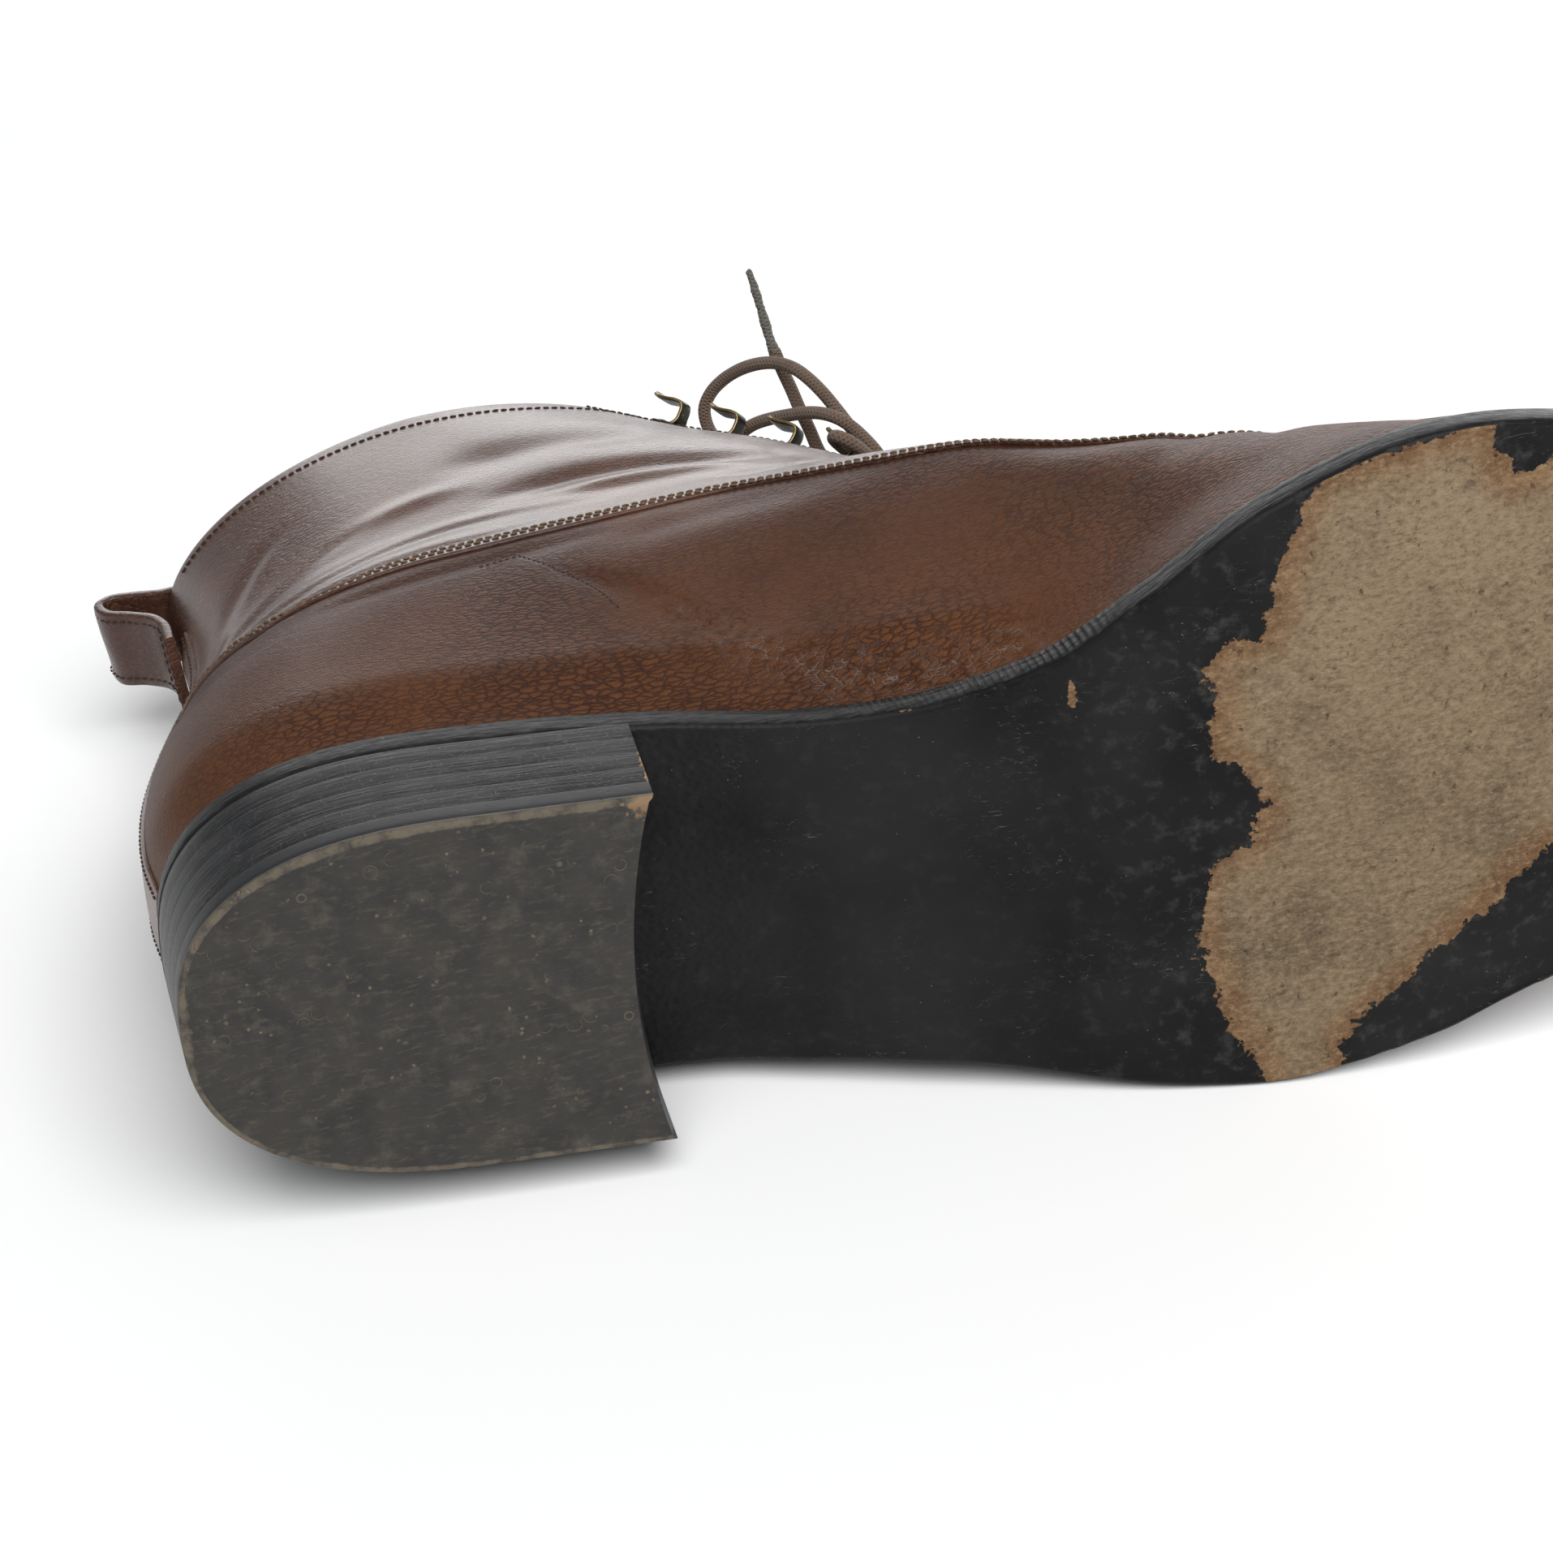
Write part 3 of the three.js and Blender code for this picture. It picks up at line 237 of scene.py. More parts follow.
TAIL_ROUTE = [
    (51.2, -6.9, 5.2), (47.3, -6.2, 5.6), (42.8, -7.0, 5.5), (37.8, -9.6, 5.5), (35.3, -11.4, 5.6),
    (33.5, -13.2, 6.0), (30.7, -17.0, 7.2), (27.8, -20.4, 8.4), (24.9, -23.6, 9.9), (22.4, -26.4, 11.0),
    (21.3, -28.9, 11.2), (20.4, -31.4, 11.3),
]
TIP_ROUTE = [(20.2, -32.2, 11.3), (19.1, -36.3, 11.6), (17.7, -42.1, 12.0), (16.3, -47.0, 12.3)]
HIDDEN_ROUTE = [
    (53.2, -3.8, 5.1), (47.0, -0.5, 5.0), (40.0, 4.6, 4.0), (31.0, 9.4, 3.0), (22.0, 13.0, 2.0),
    (14.0, 15.6, 1.4), (9.0, 16.8, 1.2),
]
KNOT_PLACE = (55.4, -7.4, 4.4)

# Soft lights: place, what each is turned to, width, depth and power
LIGHTS = [
    ("key_panel", (0.1, -1.4, 2.4), (0.0, 0.1, 0.0), 2.8, 2.2, 92),
    ("back_panel", (0.75, 1.3, 0.30), (0.45, 0.0, 0.28), 2.5, 0.58, 17),
]
ROOM_LIGHT = (0.93, 0.96, 1.0, 1.0)
ROOM_STRENGTH = 0.24
FLOOR_REACH = 3.0
NEAREST_VIEW = 0.01

# Side view of a lace hook in mm: along the facing, and out from it
HOOK_BENDS = [
    (3.3, 0.62), (1.5, 0.55), (-0.8, 0.52), (-2.2, 0.66), (-2.95, 1.5), (-3.1, 2.9), (-3.05, 4.2),
    (-2.5, 5.3), (-1.2, 5.62), (1.2, 5.55), (3.2, 5.62), (4.4, 6.05), (4.9, 6.6),
]
HOOK_METAL = 0.42

# How wide a hook is along its strip, as shares of the strip's length and of the hook's width
HOOK_WIDTHS = [
    (0, 0.55), (0.06, 0.95), (0.2, 1), (0.30, 0.86), (0.42, 0.62), (0.55, 0.62), (0.68, 0.86), (0.88, 1),
    (0.97, 0.78), (1, 0.5),
]

# Bare nicks in the sole's blacking: start, end and half width in mm
NICKS = [
    ((156.0, -29.3), (155.2, -24.9), 0.75), ((141, -30.6), (143, -31.2), 0.8),
    ((128, -27.0), (129.5, -26.8), 0.4),
]


def lerp(a, b, share):
    return a + (b - a) * share


def smoothstep(value, low, high):
    share = np.clip((value - low) / (high - low), 0, 1)
    return share * share * (3 - 2 * share)


def rounding(distance, reach, corner):
    """How far a rounded end has filled out, from 0 at its edge to 1 at its full width."""
    share = np.clip(distance / reach, 0, 1)
    return (1 - (1 - share) ** corner) ** (1 / corner)


def through(rows, place_size, value_size, column=1):
    """A smooth curve through two columns of a table, which doesn't overshoot between its rows."""
    at = np.array([row[0] for row in rows]) * place_size
    values = np.array([row[column] for row in rows]) * value_size
    rises = np.diff(values) / np.diff(at)
    both = rises[:-1] * rises[1:]
    sums = np.where(both > 0, rises[:-1] + rises[1:], 1)
    slopes = np.concatenate([rises[:1], np.where(both > 0, 2 * both / sums, 0), rises[-1:]])

    def curve(place):
        x = np.clip(place, at[0], at[-1])
        i = np.clip(np.searchsorted(at, x, side="right") - 1, 0, len(at) - 2)
        span = at[i + 1] - at[i]
        t = (x - at[i]) / span
        chord = lerp(values[i], values[i + 1], t * t * (3 - 2 * t))
        return chord + t * (1 - t) * span * ((1 - t) * slopes[i] - t * slopes[i + 1])

    return curve


def smooth_line(points, per_span=40):
    """Points close together on a smooth curve through the given ones."""
    p = np.asarray(points, float)
    p = np.vstack([2 * p[0] - p[1], p, 2 * p[-1] - p[-2]])
    t = np.linspace(0, 1, per_span, endpoint=False)[:, None]
    parts = []
    for a, b, c, d in zip(p[:-3], p[1:-2], p[2:-1], p[3:]):
        before, here, after = (math.sqrt(np.linalg.norm(v)) for v in (b - a, c - b, d - c))
        start = ((b - a) / before - (c - a) / (before + here) + (c - b) / here) * here
        end = ((c - b) / here - (d - b) / (here + after) + (d - c) / after) * here
        bend = 3 * (c - b) - 2 * start - end
        parts.append(b + start * t + bend * t**2 + (2 * (b - c) + start + end) * t**3)
    return np.vstack([*parts, p[-2]])


def walked(points):
    """Length walked up to each point of a line."""
    steps = np.linalg.norm(np.diff(points, axis=0), axis=1)
    return np.concatenate([[0], np.cumsum(steps)])


class Profile:
    """A smooth line of the side view, read by share of its length or by one of its coordinates."""

    def __init__(self, points):
        self.points = smooth_line(points)
        self.reach = walked(self.points)
        self.length = self.reach[-1]

    def at(self, share):
        place = np.asarray(share) * self.length
        return np.stack([np.interp(place, self.reach, column) for column in self.points.T], -1)

    def read(self, source, target):
        order = np.argsort(self.points[:, source], kind="stable")
        sources, targets = self.points[order, source], self.points[order, target]
        return lambda value: np.interp(value, sources, targets)


def unit(vectors):
    return vectors / np.maximum(np.linalg.norm(vectors, axis=-1, keepdims=True), 1e-12)


def distance_to(places, path):
    """Distance from places to a line of points, and the share of the line's length there."""
    best = np.full(places.shape[:-1], np.inf)
    share = np.zeros(places.shape[:-1])
    reach = walked(path)
    for i, (a, b) in enumerate(zip(path[:-1], path[1:])):
        way = b - a
        t = np.clip(((places - a) @ way) / (way @ way), 0, 1)
        apart = np.linalg.norm(places - a - t[..., None] * way, axis=-1)
        nearer = apart < best
        best = np.where(nearer, apart, best)
        share = np.where(nearer, lerp(reach[i], reach[i + 1], t) / reach[-1], share)
    return best, share


def inside(places, outline):
    """Whether each place lies inside a closed outline."""
    found = np.zeros(places.shape[:-1], bool)
    x, y = places[..., 0], places[..., 1]
    for (ax, ay), (bx, by) in zip(outline, np.roll(outline, -1, axis=0)):
        crosses = (ay > y) != (by > y)
        found ^= crosses & (x < (bx - ax) * (y - ay) / ((by - ay) or 1e-12) + ax)
    return found


class BootShape:
    """Surfaces of the standing boot: x forward from the heel, y to the outer side, z up, in metres."""

    SEAT_CORNER = 2.52
    SEAM_RIDGE = 0.262
    SEAM_BACK = 0.545
    SHAFT_REACH = 0.95
    SEAM_CALM = 0.7
    COLLAR_SLOPE = 1.6
    COLLAR_RISE = 0.0012
    SEAT_BLEND = 0.025
    FEATHER_BLEND = 0.016

    def __init__(self, sizes):
        self.sizes = sizes
        long, high, wide = sizes.sole_length, sizes.collar_height, sizes.ball_width
        self.seat_end = 0.27 * long
        self.turn_centre = 0.133 * long
        self.seat_rounding = 0.62 * sizes.seat_length
        self.forepart = through(UNDERSIDE, long, sizes.heel_height)
        self.outline_middle = through(OUTLINE, long, wide, 1)
        self.outline_half = through(OUTLINE, long, wide, 2)
        self.foot_half = through(FOOT, long, wide, 1)
        self.ridge_round = through(FOOT, long, wide, 2)
        self.ridge_middle = through(FOOT, long, wide, 3)
        self.shaft_half = through(SHAFT, high, sizes.shaft_width)
        self.counter_top = through(COUNTER_TOP, long, high)
        self.counter_front = through(COUNTER_FRONT, high, long)
        self.ridge = Profile(self.side_view(RIDGE, True))
        self.back = Profile(self.side_view(BACK, True))
        self.seam = Profile(self.side_view(SEAM, False))
        self.ridge_height = self.ridge.read(0, 1)
        self.ridge_front = self.ridge.read(1, 0)
        self.back_edge = self.back.read(1, 0)
        self.collar_front = self.ridge.points[-1]
        self.collar_back = self.back.points[-1]
        self.folds = [(smooth_line(self.side_view(fold["path"], False), 8), fold) for fold in FOLDS]
        self.crease = smooth_line(self.side_view(CREASE, False), 8)
        self.throat_start = self.collar_front
        foot = self.ridge.at(1 - sizes.throat_length / self.ridge.length)
        self.throat_down = unit(foot - self.throat_start)
        self.throat_out = np.array([-self.throat_down[1], self.throat_down[0]])
        self.throat_middle = float(self.ridge_middle(self.collar_front[0]))
        self.lay_turn, self.lay_shift = self.lying()

    def side_view(self, rows, from_sole):
        points = np.array(rows) * [self.sizes.sole_length, self.sizes.collar_height]
        if from_sole:
            points[0, 1] = self.feather(points[0, 0])
        return points

    def lying(self):
        """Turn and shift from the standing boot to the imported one, from the heel's face and the sole."""
        up_sole = -np.array(frame["record"]["mounts"][0]["axis"])
        tilt_y = up_sole[2]
        tilt_x = -up_sole[0] * (1 + up_sole[1]) / tilt_y
        up = Vector((tilt_x, tilt_y, math.sqrt(1 - tilt_x**2 - tilt_y**2)))
        laid = Matrix(((1, 0, 0), (0, 0, 1), (0, -1, 0)))
        turn = np.array(up.rotation_difference(Vector((0, 0, 1))).to_matrix() @ laid)
        plan = self.plan(np.linspace(0, 1, 201)[:, None], np.array([-1, 1]), 0)
        low = self.underside(plan[..., 0])
        corners = [np.dstack([plan, low]), np.dstack([plan, low + self.sizes.outsole_thickness])]
        points = np.concatenate(corners).reshape(-1, 3) @ turn.T
        lowest, highest = (np.array(corner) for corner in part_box("outsole"))
        return turn, ((lowest + highest) - (points.min(0) + points.max(0))) / 2

    def lay(self, points):
        return np.asarray(points) @ self.lay_turn.T + self.lay_shift

    # Sole
    def underside(self, x):
        seat = self.sizes.heel_height + self.sizes.heel_back_rise * (1 - x / self.seat_end)
        return np.where(x < self.seat_end, seat, self.forepart(x))

    def feather(self, x):
        sizes = self.sizes
        return self.underside(x) + sizes.outsole_thickness + sizes.welt_thickness + 2 * sizes.layer_gap

    def turn_at(self, x):
        start, end = self.seat_end - self.SEAT_BLEND, self.seat_end + 0.012
        return self.sizes.heel_turn * (1 - smoothstep(x, start, end))

    def forepart_share(self, x):
        return smoothstep(x, self.seat_end - self.SEAT_BLEND, self.seat_end)

    def middle_at(self, x):
        seat = (x - self.turn_centre) * math.tan(self.sizes.heel_turn)
        return lerp(seat, self.outline_middle(x), self.forepart_share(x))

    def half_at(self, x):
        seat = self.sizes.heel_seat_width / 2 * rounding(x, self.seat_rounding, self.SEAT_CORNER)
        return lerp(seat, self.outline_half(x), self.forepart_share(x))

    def inset_half(self, x, inset):
        half = self.half_at(x)
        end = 0.25 * self.sizes.ball_width
        return np.where(half > end, half - inset, half * (1 - inset / end))

    def plan(self, share, across, inset):
        x = lerp(inset, self.sizes.sole_length - inset, share)
        half = self.inset_half(share * self.sizes.sole_length, inset) * across
        turn = self.turn_at(x)
        x, half, turn = np.broadcast_arrays(x, half, turn)
        return np.stack([x - half * np.sin(turn), self.middle_at(x) + half * np.cos(turn)], -1)

    def heel_plan(self, level, u, v, inset):
        """A place of the heel's outline: level 0 on the ground and 1 at the seat, inset from its edge."""
        sizes = self.sizes
        length = lerp(sizes.top_piece_length, sizes.seat_length - 0.001, level)
        half = lerp(sizes.top_piece_width, sizes.heel_seat_width, level) / 2 - inset
        x = inset + (length - sizes.breast_hollow * (1 - v * v) - 2 * inset) * u
        y = v * half * rounding(x - inset, self.seat_rounding, self.SEAT_CORNER)
        x = sizes.top_piece_inset * (1 - level) + x - self.turn_centre
        cos, sin = math.cos(sizes.heel_turn), math.sin(sizes.heel_turn)
        return np.stack([x * cos - y * sin + self.turn_centre, x * sin + y * cos], -1)

    # Upper
    def upper_half(self, x, z):
        sizes = self.sizes
        high = sizes.collar_height
        low = self.feather(x)
        front = self.ridge_front(np.minimum(z, self.collar_front[1]))
        over = self.collar_front[1] + (self.collar_front[0] - x) * self.COLLAR_SLOPE
        top = np.where(x < self.collar_front[0], over, self.ridge_height(x))
        ahead, above = np.maximum(front - x, 0), np.maximum(top - z, 0)
        inward = ahead * above / np.maximum(np.hypot(ahead, above), 1e-9)
        behind = np.maximum(x - self.back_edge(z), 0)
        upward = smoothstep(z, low, 0.6 * high)
        base = lerp(self.foot_half(x), self.shaft_half(z), smoothstep(z, 0.42 * high, 0.7 * high))
        reach = lerp(self.seat_rounding, self.SHAFT_REACH * sizes.shaft_width, upward)
        corner = lerp(self.SEAT_CORNER, 2, upward)
        body = base * rounding(inward, self.ridge_round(x), 2.05) * rounding(behind, reach, corner)
        share = np.clip((x - self.back_edge(z)) / (front - self.back_edge(z)), 0, 1)
        foot = self.inset_half(share * sizes.sole_length, sizes.upper_inset)
        return lerp(foot, body, smoothstep(z, low, low + self.FEATHER_BLEND))

    def upper_middle(self, x, z):
        low = self.feather(x)
        return lerp(self.middle_at(x), self.ridge_middle(x), smoothstep(z, low + 0.004, low + 0.062))

    def feather_point(self, share):
        x = lerp(self.back.points[0, 0], self.ridge.points[0, 0], np.asarray(share))
        return np.stack([x, self.feather(x)], -1)

    def collar_point(self, share):
        share = np.asarray(share)[..., None]
        dip = self.COLLAR_RISE * np.sin(np.pi * share) * np.array([0, 1])
        return lerp(self.collar_back, self.collar_front, share) + dip

    def side_point(self, level, share):
        """Side view of a ring: level 0 is the feather, 1 the seam over the galosh and 2 the collar."""
        low = (level <= 1)[..., None]
        part = np.where(level <= 1, level, level - 1)
        back_at = np.where(level <= 1, self.SEAM_BACK * part, lerp(self.SEAM_BACK, 1, part))
        ridge_at = np.where(level <= 1, self.SEAM_RIDGE * part, lerp(self.SEAM_RIDGE, 1, part))
        part = part[..., None]

        def between(at):
            feather, seam, collar = self.feather_point(at), self.seam.at(at), self.collar_point(at)
            return lerp(np.where(low, feather, seam), np.where(low, seam, collar), part)

        start = self.back.at(back_at) - between(0.0)
        end = self.ridge.at(ridge_at) - between(1.0)
        calm = np.where(low, 0, 1 - smoothstep(part, 0, self.SEAM_CALM))
        share = share[..., None]
        pull = share + (share**3 - share) * calm
        return between(share[..., 0]) + start * (1 - share) + end * pull

    def point(self, level, round_):
        """A point of the upper's outer face: round 0 is the back, 1 the front, 1 to 2 the inner side."""
        level, round_ = np.broadcast_arrays(np.asarray(level, float), np.asarray(round_, float))
        side = np.where(round_ <= 1, 1, -1)
        view = self.side_point(level, (1 - np.cos(np.pi * round_)) / 2)
        x, z = view[..., 0], view[..., 1]
        half = self.upper_half(x, z) * side
        high = self.sizes.collar_height
        turn = self.turn_at(x) * (1 - smoothstep(z, 0.4 * high, high))
        return np.stack([x - half * np.sin(turn), self.upper_middle(x, z) + half * np.cos(turn), z], -1)

    def normal(self, level, round_):
        step = 0.01
        level, round_ = np.broadcast_arrays(np.asarray(level, float), np.asarray(round_, float))
        above, below = np.minimum(level + step, 2), np.maximum(level - step, 0)
        up = self.point(above, round_) - self.point(below, round_)
        on = self.point(level, (round_ + step) % 2) - self.point(level, (round_ + 2 - step) % 2)
        normal = np.cross(up, on)
        normal[..., 2] = np.where((level < step) | (level > 2 - step), 0, normal[..., 2])
        return unit(normal)

    def fold(self, points):
        """How far the worn leather's soft folds push its face out."""
        view = points[..., [0, 2]]
        lift = np.zeros(points.shape[:-1])
        for path, fold in self.folds:
            apart, share = distance_to(view, path)
            taper = smoothstep(share, 0, 0.3) * (1 - smoothstep(share, 0.6, 1))
            lift -= fold["depth"] * MM * taper * np.exp(-((apart / (fold["width"] * MM)) ** 2))
        low = self.feather(points[..., 0])
        calm = smoothstep(points[..., 2], low, low + 0.012) * (1 - smoothstep(points[..., 2], 0.152, 0.168))
        ridge = self.ridge_height(points[..., 0])
        return lift * calm * smoothstep(ridge - points[..., 2], 0.002, 0.018)

    def surface(self, level, round_, lift):
        """Places over the upper's face, folds included."""
        points = self.point(level, round_)
        return points + self.normal(level, round_) * (np.asarray(lift) + self.fold(points))[..., None]

    # Throat
    def throat_half(self, down):
        sizes = self.sizes
        share = np.clip(down / sizes.throat_length, 0, 1)
        return lerp(sizes.throat_top, sizes.throat_bottom, share) / 2

    def throat_open(self, down):
        """Half of the opening, which ends in a half round."""
        round_ = self.sizes.throat_bottom / 2
        past = np.maximum(down - (self.sizes.throat_length - round_), 0)
        end = np.sqrt(np.maximum(round_**2 - past**2, 0))
        return np.where(past > 0, np.where(past < round_, end, -1), self.throat_half(down))

    def down_at(self, points):
        return (points[..., [0, 2]] - self.throat_start) @ self.throat_down

    def level_down(self, down):
        ridge_at = 1 - down / self.ridge.length
        return 1 + (ridge_at - self.SEAM_RIDGE) / (1 - self.SEAM_RIDGE)

    def throat_edge(self, level, side):
        """How far from the ridge the facing's edge is at each level, in rounds. Side 1 is the outer one."""
        steps = np.linspace(0, 0.6, 400)
        points = self.point(level[:, None], 1 - side * steps)
        clear = np.abs(points[..., 1] - self.throat_middle) - self.throat_open(self.down_at(points))
        first = np.argmax(clear >= 0, axis=1)
        rows = np.arange(len(level))
        before = np.maximum(first - 1, 0)
        a, b = clear[rows, before], clear[rows, first]
        part = np.where(first > 0, -a / np.where(b - a == 0, 1, b - a), 0)
        return np.where(first > 0, lerp(steps[before], steps[first], part), 0)

    def round_across(self, level, across):
        """Where round the ring a place lies that is this far across from the ridge."""
        rounds = 1 - math.copysign(1, across) * np.linspace(0, 0.5, 251)
        return float(np.interp(abs(across), walked(self.point(level, rounds)), rounds))

    def throat_point(self, row):
        down, across, out = (value * MM for value in row)
        view = self.throat_start + self.throat_down * down + self.throat_out * out
        return np.array([view[0], across, view[1]])

    def hook_frame(self, row, side):
        """Place and axes of a hook: x up the throat, y out of the leather, z to the outer side."""
        sizes = self.sizes
        down = sizes.first_hook + row * sizes.hook_pitch
        level = self.level_down(down)
        round_ = self.round_across(level, side * (float(self.throat_half(down)) + sizes.hook_setback))
        up = -np.array([self.throat_down[0], 0, self.throat_down[1]])
        normal = self.normal(level, round_)
        normal = unit(normal - (normal @ up) * up)
        seat = self.point(level, round_) + normal * sizes.lap
        return np.column_stack([up, normal, np.cross(up, normal)]), seat


# Meshes
MERGE_REACH = 2e-6
SHORTEST_EDGE = 1e-7


def faces_of(corner):
    """Faces between neighbours in a grid of corner numbers."""
    return np.stack([corner[:-1, :-1], corner[:-1, 1:], corner[1:, 1:], corner[1:, :-1]], -1).reshape(-1, 4)


def grid_faces(rows, columns, first=0):
    """Faces of a grid of corners that are numbered row by row."""
    return faces_of(first + np.arange(rows * columns).reshape(rows, columns))


def closed_rows(corners):
    """Rows of corners with each row's first one again at its end."""
    return np.concatenate([corners, corners[:, :1]], axis=1)


def ring_faces(rows, columns, first=0):
    """Faces of a grid whose rows close on themselves."""
    return faces_of(closed_rows(first + np.arange(rows * columns).reshape(rows, columns)))


def strip_faces(a, b):
    """Faces between two lines of corners of the same length."""
    return np.stack([a[:-1], a[1:], b[1:], b[:-1]], -1)


def put_in(name, mesh, material=None):
    """A finished mesh as a piece that rides on the boot."""
    piece = bpy.data.objects.new(name, mesh)
    bpy.context.scene.collection.objects.link(piece)
    if material:
        mesh.materials.append(material)
    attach(piece, "root")
    return piece


def face_out(mesh, work):
    """Turn the faces outward and hand the worked mesh back."""
    bmesh.ops.recalc_face_normals(work, faces=work.faces)
    work.to_mesh(mesh)
    work.free()
    mesh.shade_smooth()


def make_piece(name, standing, faces, shape, material, crease=40, fields=None):
    """A mesh with its corners merged, its faces outward, and its standing places as an attribute."""
    standing = np.asarray(standing, float).reshape(-1, 3)
    mesh = bpy.data.meshes.new(name)
    mesh.from_pydata(shape.lay(standing).tolist(), [], [list(map(int, face)) for face in faces])
    places = mesh.attributes.new("standing", "FLOAT_VECTOR", "POINT")
    places.data.foreach_set("vector", standing.astype(np.float32).ravel())
    for field, values in (fields or {}).items():
        attribute = mesh.attributes.new(field, "FLOAT", "POINT")
        attribute.data.foreach_set("value", np.asarray(values, np.float32).ravel())
    work = bmesh.new()
    work.from_mesh(mesh)
    bmesh.ops.remove_doubles(work, verts=work.verts, dist=MERGE_REACH)
    bmesh.ops.dissolve_degenerate(work, edges=work.edges, dist=SHORTEST_EDGE)
    face_out(mesh, work)
    mesh.set_sharp_from_angle(angle=math.radians(crease))
    return put_in(name, mesh, material)


def near_crease(corners, shape):
    """1 on the line where the waist bends, falling to 0 beside it."""
    apart, share = distance_to(corners[:, [0, 2]], shape.crease)
    return np.exp(-((apart / (0.0022 + 0.0030 * share)) ** 2)) * smoothstep(share, 0.1, 0.5)


def two_faced(outer, inner, open_sides):
    """Corners and faces of a sheet with a thickness. open_sides says by row where its sides have a rim."""
    rows, columns = outer.shape[:2]
    count = rows * columns
    corner = np.arange(count).reshape(rows, columns)
    faces = [grid_faces(rows, columns), grid_faces(rows, columns, count)[:, ::-1]]
    for line in (corner[0], corner[-1]):
        faces.append(strip_faces(line, line + count))
    for line in (corner[:, 0], corner[:, -1]):
        rim = strip_faces(line, line + count)
        faces.append(rim[open_sides[:-1] | open_sides[1:]])
    return np.concatenate([outer.reshape(-1, 3), inner.reshape(-1, 3)]), np.concatenate(faces)


def make_shell(name, shape, levels, outer, inner, columns, material, drop=0):
    """A layer of the upper over the given levels, cut open at the throat."""
    lateral = shape.throat_edge(levels, 1)
    medial = shape.throat_edge(levels, -1)
    t = np.linspace(0, 1, columns)
    rounds = np.where(
        t <= 0.5, (1 - lateral[:, None]) * (1 - 2 * t), 2 - (1 - medial[:, None]) * (2 * t - 1)
    )
    rounds = np.where((t > 0.5) & (rounds >= 2), 0, rounds)
    grid = np.broadcast_to(levels[:, None], rounds.shape)
    faces = []
    for lift in (outer, inner):
        rows = np.broadcast_to(np.asarray(lift, float).reshape(-1, 1), rounds.shape)
        face = shape.surface(grid, rounds, rows)
        face[0, :, 2] -= drop
        faces.append(face)
    corners, mesh_faces = two_faced(*faces, lateral + medial > 1e-4)
    fields = {"crease": near_crease(corners, shape)}
    return make_piece(name, corners, mesh_faces, shape, material, fields=fields)


def tube_points(path, radii, sides):
    """Rings of corners round a path that don't twist, and the path's own lengths."""
    way = unit(np.gradient(path, axis=0))
    side = unit(np.cross(way[0], [0.3, 0.5, 0.8]))
    rings = []
    angles = np.linspace(0, 2 * np.pi, sides, endpoint=False)
    for place, along, radius in zip(path, way, radii):
        side = unit(side - (side @ along) * along)
        other = np.cross(along, side)
        ring = np.cos(angles)[:, None] * side + np.sin(angles)[:, None] * other
        rings.append(place + ring * radius)
    return np.array(rings)


def evenly(points, step):
    """The smooth line through points, with corners a step apart."""
    line = smooth_line(points)
    reach = walked(line)
    at = np.linspace(0, reach[-1], max(int(round(reach[-1] / step)), 3) + 1)
    return np.stack([np.interp(at, reach, column) for column in line.T], -1)


def make_tube(name, path, radius, shape, material, sides=18, taper=None, rough=0.0):
    """A round cord along a path of the standing boot, with a UV map of its own: along and round."""
    count = len(path)
    share = np.linspace(0, 1, count)
    radii = np.full(count, radius)
    ends = np.minimum(share, 1 - share) * walked(path)[-1]
    radii = radii * np.sqrt(np.clip(1 - (1 - np.clip(ends / (0.8 * radius), 0, 1)) ** 2, 0.02, 1))
    if taper is not None:
        radii = radii * taper(share)
    rings = tube_points(path, radii, sides)
    if rough:
        random = np.random.default_rng(7)
        by_ring = random.normal(0, rough, rings.shape[:1] + (1, 3))
        rings += by_ring + random.normal(0, rough / 3, rings.shape)
    lengths = walked(path)
    first, last = list(range(sides)), list(range((count - 1) * sides, count * sides))
    faces = ring_faces(count, sides).tolist() + [first[::-1], last]
    spots = np.stack(np.meshgrid(lengths, np.arange(sides + 1) / sides, indexing="ij"), -1).reshape(-1, 2)
    coordinates = np.concatenate([
        spots[grid_faces(count, sides + 1).ravel()], np.zeros((sides, 2)), [(lengths[-1], 0)] * sides
    ])
    mesh = bpy.data.meshes.new(name)
    mesh.from_pydata(shape.lay(rings.reshape(-1, 3)).tolist(), [], faces)
    mesh.uv_layers.new(name="along").data.foreach_set("uv", coordinates.astype(np.float32).ravel())
    work = bmesh.new()
    work.from_mesh(mesh)
    face_out(mesh, work)
    return put_in(name, mesh, material)


